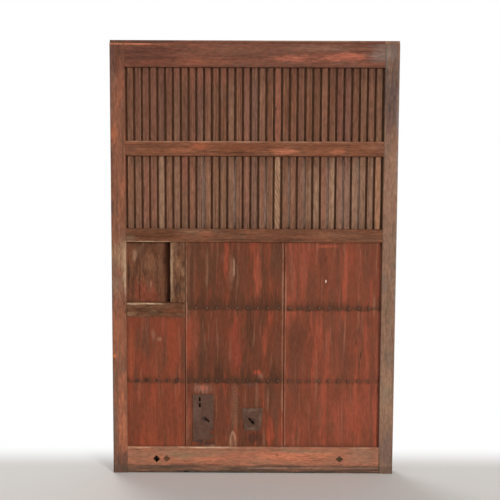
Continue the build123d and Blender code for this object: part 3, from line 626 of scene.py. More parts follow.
lattice_board_count = 4
lattice_low, lattice_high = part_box("lattice_back_boards")
lattice_board_width = (lattice_high.x - lattice_low.x) / lattice_board_count
dusty_gaps = (-0.2, -0.075, 0.05, 0.145, 0.205, 0.295, 0.36, 0.42)
lattice_back = RowCoat(
    "lattice back wood", pale=(182, 132, 100), dark=(124, 84, 61), streaked=(146, 96, 68),
    left=lattice_low.x, pitch=lattice_board_width, front=front_of("lattice_back_boards"), seed=8.1,
    ring=0.009, heart=(1.0, 0.05, 0), warm=((170, 118, 86), 0.25), grey=((140, 116, 100), 0.5),
)
lattice_back.vary(((128, 90, 66), 0.5), ((176, 136, 104), 0.5), ((134, 112, 95), 0.5))
lattice_back.streaks((112, 78, 58), 0.65, width=0.022, length=0.6, levels=(0.5, 0.66), seed=4.0, deep=True)
lattice_back.streaks((188, 146, 114), 0.5, width=0.012, length=0.4, levels=(0.56, 0.7), seed=7.0, deep=True)
# Dark patches on the back
lattice_back.dab((-0.1, 1.4), (0.3, 0.2), (128, 98, 76), 0.6, deep=True)
# The dark joints between the boards, seen from behind
for count in range(1, lattice_board_count):
    joint = lattice_low.x + count * lattice_board_width
    lattice_back.dab((joint, 1.33), (0.0022, 1.6), (46, 31, 23), 0.9, 0.5, 0.5, deep=True)
lattice_back.dab((0.3, 1.05), (0.2, 0.08), (112, 88, 72), 0.7, deep=True)
# Dust that has come in between the slats
for across in dusty_gaps:
    lattice_back.dab((across, 1.14), (0.018, 0.2), (240, 214, 196), 0.95, 0.5, 0.4)
lattice_back.done("lattice_back_boards")


# SLATS
# Thirty-three slats, housed in the rails at both ends, run through both bands behind the upper
# middle rail. Each was cut from its own stick, so their browns differ; the lower band is drier.
slat_count = 33
first_slat, last_slat = [sum(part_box(node), Vector()) / 2 for node in ("slat_01", "slat_33")]
slat_pitch = (last_slat.x - first_slat.x) / (slat_count - 1)


def middle_of_slat(count):
    """How far across the middle of a slat is, counted from the left."""
    return first_slat.x + (count - 1) * slat_pitch


class SlatCoat(RowCoat):
    """The slats' finish, with room for a slat whose grain runs out."""

    def slant(self, count, level, half, rise, pitch, colour):
        """Grain that runs out across one slat in slanting lines."""
        tree = self.tree
        across, _, up = axes(tree, self.place)
        turns = sums(tree, "DIVIDE", sums(tree, "MULTIPLY_ADD", across, rise, up), pitch)
        bend = stretched(tree, self.place, (90, 1, 30), 3).outputs[0]
        turns = sums(tree, "FRACT", sums(tree, "ADD", turns, bend))
        line = fade(tree, apart(tree, turns, 0.5), 0.26, 0.02)
        aside = apart(tree, across, middle_of_slat(count))
        line = sums(tree, "MULTIPLY", line, sums(tree, "LESS_THAN", aside, slat_pitch / 2))
        near = fade(tree, apart(tree, up, level), half, half * 0.7)
        self.wash(sums(tree, "MULTIPLY", line, near), colour, 0.8)


slats = SlatCoat(
    "slat wood", pale=(144, 101, 76), dark=(74, 46, 32), streaked=(106, 70, 52),
    left=first_slat.x - slat_pitch / 2, pitch=slat_pitch, front=front_of("slat_01"), seed=2.0,
    ring=0.0045, heart=(0.5, 0.03, 1.3), warm=((148, 98, 72), 0.4), grey=((112, 92, 78), 0.45),
    contrast=1.0, mottle=0.6,
)
slats.dabs(
    # Brown upper band, drier lower band, palest on the right
    ((0.0, 1.56), (1.6, 0.3), (100, 63, 46), 0.6, 0.6, 0.3),
    ((0.0, 1.12), (1.6, 0.17), (128, 96, 74), 0.4, 0.6, 0.5),
    ((0.38, 1.13), (0.24, 0.24), (160, 128, 104), 0.75, 0.6, 0.5),
)
slats.vary(((72, 46, 31), 0.6), ((156, 114, 90), 0.5), ((112, 84, 78), 0.35), ((134, 74, 56), 0.3))
slats.dabs(
    # Darker under the two upper rails and above the lower one
    ((0.0, 1.64), (1.6, 0.09), (84, 53, 41), 0.55, 0.8, 0.4),
    ((0.0, 1.29), (1.6, 0.05), (96, 67, 50), 0.45, 0.8, 0.4),
    ((0.0, 1.02), (1.6, 0.05), (98, 70, 53), 0.45, 0.8, 0.4),
)
slats.streaks((62, 38, 26), 0.6, width=0.0035, length=0.5, levels=(0.52, 0.7), seed=2.0)
slats.streaks((170, 126, 96), 0.5, width=0.003, length=0.4, levels=(0.56, 0.72), seed=5.0)
slats.dabs(
    # Darker on the left, redder under the top rail, and one slat that stands out
    ((-0.36, 1.5), (0.3, 0.2), (88, 54, 43), 0.4, 0.6, 0.5),
    ((-0.18, 1.62), (0.22, 0.07), (140, 84, 66), 0.45, 0.8, 0.8),
    ((middle_of_slat(20), 1.5), (0.014, 0.24), (140, 84, 66), 0.8, 0.3, 0.3),
    ((middle_of_slat(20), 1.15), (0.014, 0.24), (166, 130, 102), 0.95, 0.3, 0.3),
)
slats.slant(20, level=1.13, half=0.15, rise=2.7, pitch=0.03, colour=(112, 78, 58))
slats.dabs(
    # More single slats that stand out
    ((middle_of_slat(33), 1.15), (0.014, 0.24), (158, 112, 84), 0.85, 0.3, 0.3),
    ((middle_of_slat(8), 1.23), (0.014, 0.1), (128, 76, 62), 0.7, 0.3, 0.5),
    ((middle_of_slat(5), 1.15), (0.014, 0.2), (150, 116, 90), 0.7, 0.3, 0.5),
)
# The same dust on the slats' flanks
for across in dusty_gaps:
    slats.dab((across, 1.14), (0.02, 0.2), (206, 184, 176), 0.9, 0.5, 0.4, deep=True)
slats.rub((150, 112, 86), radius=0.002, strength=0.5)
slats.done(*[f"slat_{count:02d}" for count in range(1, slat_count + 1)])


# LEFT BOARD
# The boards below the lattice are lapped edge to edge in grooves of the frame and rubbed with a red
# earth stain. The left board is short, under the hand pull, and is red with darker streaks.
def heads_of(node):
    """The middle of each nail's head, from the corners that lie together on the nails' front."""
    front_depth, head_reach = 0.0005, 0.015
    corners = [corner.co for corner in pieces[node].data.vertices]
    front = min(corner.y for corner in corners)
    heads = []
    for corner in corners:
        if corner.y < front + front_depth:
            head = next((head for head in heads if (head[0] - corner).length < head_reach), None)
            if head is None:
                heads.append([corner])
            else:
                head.append(corner)
    return [sum(head, Vector()) / len(head) for head in heads]


def nail_rows(board):
    """The rows of nails in a board, the upper row first, each from left to right."""
    low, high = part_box(board)
    found = [head for head in heads_of("board_nails") if low.x < head.x < high.x]
    found.sort(key=lambda head: head.x)
    levels = sorted({round(head.z, 2) for head in found}, reverse=True)
    return [[head for head in found if round(head.z, 2) == level] for level in levels]


# Nail dirt: soot and rust above a row of nails, with a sharp lower rim and a ring at each nail
nail_dirt, asked, given = new_effect(
    "nail dirt",
    {"Vector": "Vector", "Level": "Float", "Rise": "Float", "First": "Float", "Pitch": "Float"},
    ("Band", "Ring"),
)
across, _, up = axes(nail_dirt, asked["Vector"])
climb = stretched(nail_dirt, asked["Vector"], (40, 1, 4), 4, 0.6).outputs[0]
climb = sums(nail_dirt, "MULTIPLY", fade(nail_dirt, climb, 0.3, 0.75), asked["Rise"])
climb = sums(nail_dirt, "ADD", climb, 0.03)
waver = stretched(nail_dirt, asked["Vector"], (45, 1, 45), 3, 0.6).outputs[0]
rim = sums(nail_dirt, "MULTIPLY_ADD", waver, 0.03, sums(nail_dirt, "SUBTRACT", asked["Level"], 0.032))
over = sums(nail_dirt, "SUBTRACT", up, rim)
band = sums(nail_dirt, "SUBTRACT", 1.0, sums(nail_dirt, "DIVIDE", over, climb))
band = sums(nail_dirt, "MULTIPLY", fade(nail_dirt, band, 0.0, 0.9), fade(nail_dirt, over, 0.0, 0.012))
nail_dirt.links.new(band, given["Band"])
turns = sums(nail_dirt, "DIVIDE", sums(nail_dirt, "SUBTRACT", across, asked["First"]), asked["Pitch"])
turns = sums(nail_dirt, "SUBTRACT", turns, sums(nail_dirt, "ROUND", turns))
aside = sums(nail_dirt, "MULTIPLY", turns, asked["Pitch"])
above = sums(nail_dirt, "SUBTRACT", up, asked["Level"])
off = length_of(nail_dirt, put(nail_dirt, "CombineXYZ", {0: aside, 2: above}).outputs[0])
off = sums(nail_dirt, "MULTIPLY_ADD", sums(nail_dirt, "SUBTRACT", waver, 0.5), 0.03, off)
nail_dirt.links.new(fade(nail_dirt, off, 0.015, 0.003), given["Ring"])


class BoardCoat(WoodCoat):
    """A red-stained board with rows of nails, planed smoother than the frame."""

    def __init__(self, name, pale, dark, streaked, **settings):
        super().__init__(name, pale, dark, streaked, front=front_of("centre_board"), contrast=0.4,
                         stripe=0.3, mottle=0.3, raised=0.0003, **settings)

    def nail_row(self, row, rise, band, ring):
        """Dirt that climbs from a row of nails, and dark rings at the nails themselves."""
        pitch = (row[-1].x - row[0].x) / (len(row) - 1)
        dirt = {"Vector": self.place, "Level": row[0].z, "Rise": rise, "First": row[0].x, "Pitch": pitch}
        dirt = put(self.tree, "Group", dirt, node_tree=nail_dirt).outputs
        self.wash(dirt["Band"], (72, 47, 33), band)
        here = fade(self.tree, self.ragged, 0.3, 0.65)
        self.wash(sums(self.tree, "MULTIPLY", dirt["Ring"], here), (50, 32, 24), ring)

    def arches(self, at, half, rise, pitch, colour, strength):
        """Arched rings one above another, where the saw has cut flat across them."""
        tree = self.tree
        across, _, up = axes(tree, self.place)
        aside = apart(tree, across, at[0])
        arch = sums(tree, "MULTIPLY", sums(tree, "MULTIPLY", aside, aside), rise)
        turns = sums(tree, "DIVIDE", sums(tree, "ADD", arch, up), pitch)
        bend = stretched(tree, self.place, (60, 1, 22), 4).outputs[0]
        turns = sums(tree, "FRACT", sums(tree, "MULTIPLY_ADD", bend, 3.5, turns))
        line = fade(tree, apart(tree, turns, 0.5), 0.3, 0.06)
        line = sums(tree, "MULTIPLY", line, fade(tree, aside, half[0], half[0] * 0.5))
        near = fade(tree, apart(tree, up, at[1]), half[1], half[1] * 0.7)
        self.wash(sums(tree, "MULTIPLY", line, near), colour, strength)


left_board = BoardCoat(
    "left board wood", pale=(136, 70, 48), dark=(100, 50, 33), streaked=(112, 53, 35), seed=9.2,
    ring=0.007, heart=(-0.4, 0.05, 0.3), warm=((144, 70, 47), 0.4), grey=((102, 64, 46), 0.45),
)
left_board.streaks((92, 58, 43), 0.7, width=0.04, length=0.3, levels=(0.5, 0.66), seed=2.0)
left_board.streaks((150, 88, 66), 0.5, width=0.014, length=0.2, levels=(0.56, 0.7), seed=7.0)
left_board.streaks((146, 70, 47), 0.6, width=0.03, length=0.4, levels=(0.54, 0.68), seed=5.0)
left_board.dabs(
    # Dark under the sill, red at both sides, browner below, two pale scrapes
    ((-0.455, 0.56), (0.06, 0.09), (92, 58, 42), 0.65),
    ((-0.50, 0.5), (0.016, 0.16), (154, 78, 51), 0.6),
    ((-0.335, 0.5), (0.03, 0.18), (142, 67, 45), 0.6),
    ((-0.4, 0.22), (0.2, 0.12), (108, 60, 42), 0.5, 0.8, 0.6),
    ((-0.41, 0.575), (0.014, 0.035), (150, 104, 82), 0.6),
    ((-0.385, 0.555), (0.012, 0.01), (156, 112, 90), 0.6),
)
left_board.nail_row(*nail_rows("left_board"), rise=0.03, band=0.65, ring=0.8)
left_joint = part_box("left_board")[1].x - 0.001
left_board.bare_back(pale=(158, 118, 88), dark=(106, 74, 54), behind=-0.002)
left_board.streaks((108, 76, 57), 0.6, width=0.024, length=0.4, levels=(0.5, 0.66), seed=6.0, deep=True)
left_board.dabs(
    # The back: a dark foot and the joint with the centre board
    ((-0.4, 0.13), (0.2, 0.07), (98, 76, 62), 0.8),
    ((left_joint, 0.5), (0.002, 1.6), (44, 30, 22), 0.9, 0.5, 0.5),
    deep=True,
)
left_board.rub((156, 100, 76), radius=0.003, strength=0.6)
left_board.done("left_board")


# CENTRE BOARD
# The widest board, lapped with its neighbours and nailed to the battens, carries both locks. Its
# stain is the most worn: brown above the upper nails, red below them, with dark dirt over each row
# of nails and round the plates.
centre_board = BoardCoat(
    "centre board wood", pale=(124, 68, 47), dark=(88, 46, 30), streaked=(98, 51, 34), seed=11.7,
    ring=0.008, heart=(-0.08, 0.045, 0.5), warm=((132, 65, 45), 0.4), grey=((90, 57, 40), 0.5),
)
centre_board.streaks((84, 53, 38), 0.75, width=0.045, length=0.3, levels=(0.48, 0.64), seed=3.0)
centre_board.streaks((136, 92, 70), 0.5, width=0.014, length=0.2, levels=(0.56, 0.7), seed=6.0)
centre_board.streaks((150, 70, 48), 0.65, width=0.03, length=0.25, levels=(0.56, 0.7), seed=8.0)
centre_board.dabs(
    # Above the upper nails: dark brown, with pale and red streaks
    ((-0.2, 0.84), (0.12, 0.2), (88, 56, 39), 0.9),
    ((-0.19, 0.85), (0.007, 0.12), (136, 98, 75), 0.6),
    ((-0.24, 0.82), (0.005, 0.14), (124, 84, 64), 0.5),
    ((-0.09, 0.83), (0.016, 0.11), (142, 98, 76), 0.55),
    ((-0.08, 0.85), (0.004, 0.08), (196, 158, 130), 0.65, 0.8, 1.4),
    ((-0.04, 0.85), (0.03, 0.14), (94, 58, 42), 0.6),
    ((0.016, 0.84), (0.02, 0.15), (156, 80, 57), 0.75),
    ((0.08, 0.84), (0.045, 0.17), (100, 62, 45), 0.6),
    ((-0.125, 0.89), (0.014, 0.025), (126, 74, 57), 0.5),
    ((-0.105, 0.81), (0.008, 0.03), (124, 76, 59), 0.45),
    ((-0.266, 0.8), (0.008, 0.2), (116, 80, 60), 0.8),
    # Between the nail rows: red and dark by turns
    ((-0.24, 0.55), (0.03, 0.14), (136, 70, 50), 0.6),
    ((-0.07, 0.52), (0.045, 0.15), (134, 60, 43), 0.75),
    ((0.045, 0.55), (0.016, 0.1), (158, 76, 54), 0.7),
    ((-0.17, 0.47), (0.09, 0.1), (84, 52, 38), 0.6),
    ((0.02, 0.5), (0.02, 0.1), (94, 56, 42), 0.6),
    ((0.1, 0.5), (0.025, 0.16), (96, 60, 44), 0.55),
    # Below the nails: red and brown round the plates
    ((0.016, 0.418), (0.022, 0.014), (186, 80, 59), 0.8),
    ((-0.02, 0.37), (0.05, 0.02), (92, 66, 60), 0.6),
    ((-0.265, 0.25), (0.014, 0.12), (150, 84, 63), 0.7),
    ((-0.07, 0.25), (0.02, 0.12), (112, 73, 53), 0.6),
    ((-0.12, 0.24), (0.03, 0.1), (100, 56, 41), 0.75),
    ((-0.16, 0.26), (0.014, 0.12), (80, 50, 37), 0.7),
    # The pale tip of an arched ring at the foot
    ((-0.082, 0.118), (0.016, 0.066), (176, 134, 106), 0.85, 0.35, 0.4),
    ((-0.082, 0.11), (0.010, 0.06), (112, 68, 50), 0.95, 0.4, 0.3),
)
centre_board.arches((-0.078, 0.275), (0.016, 0.11), rise=240, pitch=0.0125, colour=(142, 102, 80),
                    strength=0.65)
centre_board.dabs(
    # Dark beside the arches, red and pale by the right plate
    ((-0.125, 0.3), (0.03, 0.09), (90, 55, 41), 0.75),
    ((0.095, 0.25), (0.03, 0.14), (108, 68, 52), 0.6),
    ((0.06, 0.31), (0.012, 0.06), (150, 104, 82), 0.5),
    ((0.07, 0.18), (0.022, 0.07), (160, 72, 50), 0.8),
    ((0.03, 0.4), (0.012, 0.02), (150, 110, 96), 0.6),
    # Rubbed above the left plate, painted shadow under its lower edge, dirty below the right plate
    ((-0.205, 0.35), (0.055, 0.03), (136, 94, 76), 0.9),
    ((-0.203, 0.354), (0.018, 0.018), (162, 90, 72), 0.9, 0.7, 0.3),
    ((-0.228, 0.345), (0.003, 0.009), (70, 42, 32), 0.6),
    ((-0.180, 0.345), (0.003, 0.009), (70, 42, 32), 0.6),
    # Painted shadow under the left plate's lower edge, at the board's foot
    ((-0.19, 0.122), (0.06, 0.014), (62, 48, 42), 0.8),
    ((-0.17, 0.111), (0.03, 0.006), (168, 130, 104), 0.7),
    ((-0.005, 0.145), (0.05, 0.03), (66, 42, 33), 0.8),
)
upper_row, lower_row = nail_rows("centre_board")
centre_board.nail_row(upper_row, rise=0.16, band=0.75, ring=0.5)
centre_board.nail_row(lower_row, rise=0.16, band=0.85, ring=0.5)
centre_board.dabs(
    # Rubbed edges; along the left edge the pale is partly rubbed wood and partly painted light over the shade
    # in the joint
    ((-0.2745, 0.53), (0.0045, 0.6), (162, 104, 80), 0.7, 0.6, 1.2),
    ((0.118, 0.53), (0.004, 0.6), (160, 112, 88), 0.6, 0.6, 1.2),
    ((-0.276, 0.82), (0.006, 0.16), (140, 108, 84), 0.9, 0.6, 0.8),
)
centre_board.bare_back(pale=(144, 108, 82), dark=(94, 68, 50), behind=-0.002)
centre_board.streaks((102, 73, 55), 0.6, width=0.026, length=0.5, levels=(0.5, 0.66), seed=5.0, deep=True)
centre_board.dabs(
    # The back: dark above, a pale patch lower down, a dirty foot
    ((-0.1, 0.86), (0.1, 0.14), (112, 84, 66), 0.7),
    ((0.04, 0.53), (0.06, 0.1), (166, 130, 102), 0.6),
    ((-0.07, 0.12), (0.3, 0.06), (94, 74, 61), 0.8),
    deep=True,
)
centre_board.rub((150, 102, 78), radius=0.004, strength=0.6)
centre_board.done("centre_board")


# RIGHT BOARD
# The third board, of the same softwood, lapped and nailed like the others. It is the reddest and
# least handled, with one long dark streak, a brown left edge and a single chip of white paint.
right_board = BoardCoat(
    "right board wood", pale=(137, 74, 53), dark=(103, 53, 37), streaked=(119, 61, 43), seed=14.2,
    ring=0.008, heart=(0.3, 0.05, 0.6), warm=((148, 72, 51), 0.4), grey=((108, 68, 51), 0.45),
)
right_board.streaks((98, 60, 44), 0.6, width=0.045, length=0.35, levels=(0.5, 0.66), seed=6.0)
right_board.streaks((150, 96, 74), 0.5, width=0.014, length=0.25, levels=(0.56, 0.7), seed=3.0)
right_board.streaks((158, 77, 55), 0.6, width=0.035, length=0.35, levels=(0.54, 0.68), seed=9.0)
right_board.dabs(
    # Above the upper nails: the dark streak, the brown edge and the chip of paint
    ((0.28, 0.83), (0.03, 0.19), (98, 56, 40), 0.8),
    ((0.15, 0.84), (0.016, 0.2), (110, 68, 50), 0.6),
    ((0.2, 0.85), (0.03, 0.12), (146, 80, 61), 0.6),
    ((0.3, 0.938), (0.05, 0.008), (172, 86, 62), 0.6),
    ((0.293, 0.796), (0.004, 0.008), (216, 188, 166), 0.95, 0.5, 0.4),
    ((0.49, 0.7), (0.012, 0.05), (160, 114, 88), 0.5),
    # Between the nail rows: dark, most of all on the left
    ((0.19, 0.57), (0.08, 0.09), (92, 54, 37), 0.85),
    ((0.2, 0.5), (0.09, 0.12), (98, 55, 39), 0.6),
    ((0.33, 0.45), (0.05, 0.06), (112, 66, 50), 0.5),
    ((0.3, 0.62), (0.03, 0.05), (112, 66, 48), 0.5),
    # Below: red, with a pale right edge that is partly rubbed and partly painted light against the stile's
    # shadow, brown patches, and a dark foot of painted shade above the bottom rail
    ((0.4, 0.25), (0.13, 0.15), (160, 80, 59), 0.55),
    ((0.505, 0.4), (0.01, 0.3), (146, 80, 61), 0.6),
    # Partly rubbed wood, partly painted light that lifts the stile's shadow on the board
    ((0.514, 0.53), (0.007, 0.6), (172, 100, 78), 0.75, 0.6, 0.5),
    ((0.275, 0.25), (0.02, 0.1), (118, 72, 54), 0.6),
    ((0.19, 0.24), (0.07, 0.14), (108, 62, 45), 0.55),
    # Painted shade where the board meets the bottom rail
    ((0.32, 0.114), (0.22, 0.012), (104, 60, 44), 0.7),
)
upper_row, lower_row = nail_rows("right_board")
right_board.nail_row(upper_row, rise=0.07, band=0.75, ring=0.5)
right_board.nail_row(lower_row, rise=0.04, band=0.35, ring=0.4)
# Rubbed left edge
right_board.dab((0.129, 0.53), (0.004, 0.6), (164, 114, 90), 0.6, 0.6, 1.2)
right_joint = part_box("centre_board")[1].x + 0.0015
right_board.bare_back(pale=(164, 126, 96), dark=(110, 80, 60), behind=-0.002)
right_board.streaks((114, 82, 61), 0.6, width=0.026, length=0.5, levels=(0.5, 0.66), seed=4.0, deep=True)
right_board.dabs(
    # The back: a dark streak, the joint with the centre board, a dirty foot
    ((0.3, 0.82), (0.06, 0.14), (124, 94, 72), 0.7),
    ((right_joint, 0.5), (0.002, 1.6), (44, 30, 22), 0.9, 0.5, 0.5),
    ((0.38, 0.2), (0.1, 0.12), (120, 98, 80), 0.7),
    ((0.3, 0.11), (0.3, 0.05), (94, 75, 62), 0.8),
    deep=True,
)
right_board.rub((150, 100, 77), radius=0.004, strength=0.6)
right_board.done("right_board")


# BATTENS AND BOLT CASES
# Two battens cross the back of the boards and take the nails' points. Under the lower one, each
# lock has a wooden case that guides its bolt. All of it is bare brown wood.
battens = WoodCoat(
    "batten wood", pale=(150, 112, 84), dark=(96, 66, 47), streaked=(118, 82, 60), along="X",
    seed=16.0, ring=0.006, heart=(0.1, 0.1, 0), warm=((150, 104, 76), 0.5), grey=((126, 104, 86), 0.5),
)
battens.rub((164, 128, 100), radius=0.003, strength=0.5)
battens.done("upper_batten", "lower_batten", "left_bolt_case", "right_bolt_case")


# HAND PULL
# A sunken pull for the hand, framed by the stile, a post and a sill, and closed by a board behind.
# Hands have rounded the frame's arrises and rubbed it to bare, curly grey-tan wood.
def apply_last(piece):
    bpy.ops.object.modifier_apply(modifier=piece.modifiers[-1].name)


def worn_copy(node, name, grid, rubs, dents):
    """A copy of a CAD piece with its arrises rubbed round and its faces left uneven."""
    handled_depth, dent_spacing = 0.012, 0.03
    bpy.ops.object.select_all(action="DESELECT")
    pieces[node].select_set(True)
    bpy.context.view_layer.objects.active = pieces[node]
    bpy.ops.object.duplicate(linked=False)
    worn = bpy.context.object
    worn.name = name
    bpy.ops.object.parent_clear(type="CLEAR_KEEP_TRANSFORM")
    bpy.ops.object.mode_set(mode="EDIT")
    bpy.ops.mesh.select_all(action="SELECT")
    bpy.ops.mesh.remove_doubles(threshold=0.00001)
    bpy.ops.mesh.normals_make_consistent(inside=False)
    bpy.ops.object.mode_set(mode="OBJECT")
    bpy.ops.object.modifier_add(type="REMESH")
    worn.modifiers[-1].mode = "VOXEL"
    worn.modifiers[-1].voxel_size = grid
    apply_last(worn)
    front = min(corner.co.y for corner in worn.data.vertices)
    rubbed = [corner.index for corner in worn.data.vertices if corner.co.y < front + handled_depth]
    worn.vertex_groups.new(name="handled").add(rubbed, 1.0, "REPLACE")
    bpy.ops.object.modifier_add(type="SMOOTH")
    worn.modifiers[-1].vertex_group = "handled"
    worn.modifiers[-1].iterations = rubs
    apply_last(worn)
    bpy.ops.object.modifier_add(type="DISPLACE")
    worn.modifiers[-1].vertex_group = "handled"
    worn.modifiers[-1].texture = bpy.data.textures.new(name, type="CLOUDS")
    worn.modifiers[-1].texture.noise_scale = dent_spacing
    worn.modifiers[-1].strength = dents
    worn.modifiers[-1].mid_level = 0.9
    apply_last(worn)
    bpy.ops.object.shade_smooth()
    bpy.ops.object.select_all(action="DESELECT")
    return worn


post = WoodCoat(
    "pull post wood", pale=(130, 90, 65), dark=(74, 45, 29), streaked=(97, 60, 40),
    front=front_of("pull_post"), seed=18.3, ring=0.006, heart=(-0.3, 0.03, 0.8),
    warm=((132, 86, 60), 0.55), grey=((104, 80, 62), 0.6), contrast=0.6, mottle=0.6,
)
post.streaks((72, 44, 30), 0.7, width=0.026, length=0.05, levels=(0.5, 0.66), seed=1.0)
post.streaks((152, 116, 87), 0.55, width=0.018, length=0.045, levels=(0.55, 0.7), seed=4.0)
post.dabs(
    # Dark at both ends, rubbed in the middle and palest along the recess
    ((-0.302, 0.765), (0.032, 0.035), (66, 44, 34), 0.9),
    ((-0.305, 0.93), (0.03, 0.02), (96, 66, 50), 0.6),
    ((-0.31, 0.86), (0.02, 0.04), (144, 102, 75), 0.6),
    ((-0.334, 0.83), (0.012, 0.15), (174, 140, 110), 0.95, 0.8, 0.8),
)
post.bare_back(pale=(148, 112, 86), dark=(92, 66, 48), behind=0.004)
post.rub((182, 148, 116), radius=0.005, strength=0.65)
post.done("pull_post")
sill = WoodCoat(
    "pull sill wood", pale=(131, 86, 60), dark=(73, 42, 27), streaked=(97, 57, 38),
    front=front_of("pull_sill"), along="X", seed=19.1, ring=0.005, heart=(0.5, 0.05, 0),
    warm=((124, 76, 52), 0.5), grey=((100, 76, 57), 0.6), contrast=0.6, mottle=0.6,
)
sill.streaks((70, 44, 30), 0.65, width=0.018, length=0.06, levels=(0.5, 0.66), seed=1.0)
sill.streaks((142, 104, 76), 0.5, width=0.014, length=0.06, levels=(0.56, 0.7), seed=4.0)
sill.dabs(
    # Dark and red on the face, rubbed bare along the top
    ((-0.44, 0.672), (0.06, 0.018), (70, 45, 31), 0.8),
    ((-0.5, 0.66), (0.035, 0.012), (132, 98, 72), 0.8),
    ((-0.33, 0.674), (0.07, 0.026), (108, 60, 40), 0.85),
    ((-0.31, 0.69), (0.03, 0.014), (76, 48, 34), 0.7),
    ((-0.35, 0.652), (0.09, 0.006), (84, 56, 40), 0.7),
    ((-0.43, 0.704), (0.13, 0.009), (196, 162, 130), 0.95, 0.7, 0.9),
)
sill.bare_back(pale=(148, 112, 86), dark=(92, 66, 48), behind=0.004)
sill.rub((186, 152, 120), radius=0.005, strength=0.6)
sill.done("pull_sill")
for node, name in (("pull_post", "worn_pull_post"), ("pull_sill", "worn_pull_sill")):
    worn = worn_copy(node, name, grid=0.002, rubs=5, dents=0.002)
    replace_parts(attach(worn, "leaf"), node)
pull_back = WoodCoat(
    "pull back wood", pale=(130, 86, 62), dark=(78, 46, 31), streaked=(104, 64, 44),
    front=front_of("pull_back_board"), seed=20.4, ring=0.006, heart=(-0.43, 0.05, 0.8),
    warm=((126, 72, 50), 0.5), grey=((102, 74, 57), 0.5), mottle=0.6,
)
pull_back.streaks((76, 46, 33), 0.6, width=0.03, length=0.1, levels=(0.5, 0.64), seed=1.0)
pull_back.dabs(
    # Red below, tan above, with a dark crack, darker along the left side, and painted shadow down the right
    # side where the post shades the recess
    ((-0.44, 0.74), (0.09, 0.07), (136, 64, 46), 0.7),
    ((-0.43, 0.87), (0.06, 0.07), (132, 90, 65), 0.5),
    ((-0.485, 0.9), (0.018, 0.035), (160, 122, 94), 0.7),
    ((-0.466, 0.8), (0.003, 0.18), (50, 30, 21), 0.8),
    ((-0.512, 0.78), (0.009, 0.1), (46, 30, 23), 0.85),
    ((-0.42, 0.78), (0.008, 0.03), (166, 112, 88), 0.6),
    # Painted shadow of the post on the recess's right side
    ((-0.35, 0.83), (0.025, 0.3), (56, 27, 13), 0.9, 0.6, 0.2),
)
pull_back.bare_back(pale=(160, 124, 95), dark=(108, 78, 58), behind=0.014)
pull_back.done("pull_back_board")


# NAILS AND LOCK PLATES
# Forged nails in rows hold the boards to the battens; their heads were hammered by hand and stained
# with the boards. Two plates of sheet iron, brown with rust, are nailed over the keyholes.
def iron_finish(name, grey, rust, dust, seed, smudges=()):
    """Old wrought iron: brown rust over grey metal, pitted, with smudges at some places."""
    finish = new_finish(name)
    tree = finish.node_tree
    place = put(tree, "TexCoord").outputs["Object"]
    moved = vectors(tree, "ADD", place, (seed, seed * 0.7, seed * 1.9))
    blotch = fade(tree, stretched(tree, moved, (55, 55, 55), 6, 0.65).outputs[0], 0.35, 0.65)
    pits = fade(tree, stretched(tree, moved, (420, 420, 420), 4, 0.6).outputs[0], 0.38, 0.62)
    colour = mixed(tree, blotch, tone(*grey), tone(*rust))
    colour = mixed(tree, sums(tree, "MULTIPLY", pits, 0.4), colour, tone(*dust))
    edge = put(tree, "Group", {"Radius": 0.0015}, node_tree=worn_arris).outputs
    colour = mixed(tree, sums(tree, "MULTIPLY", edge["Edge"], 0.4), colour, tone(*dust))
    for at, half, smudge, strength in smudges:
        mask = stain_and_painted_light_mask(tree, place, blotch, at, half, soft=0.8, wobble=0.6)
        colour = mixed(tree, sums(tree, "MULTIPLY", mask, strength), colour, tone(*smudge))
    bump = {"Height": sums(tree, "ADD", pits, blotch), "Distance": 0.0006, "Strength": 0.7}
    bump = put(tree, "Bump", bump | {"Normal": edge["Normal"]}).outputs[0]
    dull = sums(tree, "MULTIPLY_ADD", pits, 0.15, 0.6)
    body = {"Base Color": colour, "Roughness": dull, "Metallic": 0.25}
    body = put(tree, "BsdfPrincipled", body | {"Normal": bump, "Specular IOR Level": 0.3})
    put(tree, "OutputMaterial", {0: body.outputs[0]})
    return finish


def pick_faces(piece, wanted):
    """Selects a piece's wanted faces in edit mode."""
    bpy.ops.object.mode_set(mode="EDIT")
    bpy.ops.mesh.select_mode(type="FACE")
    bpy.ops.mesh.select_all(action="DESELECT")
    bpy.ops.object.mode_set(mode="OBJECT")
    for face in piece.data.polygons:
        face.select = wanted(face)
    bpy.ops.object.mode_set(mode="EDIT")


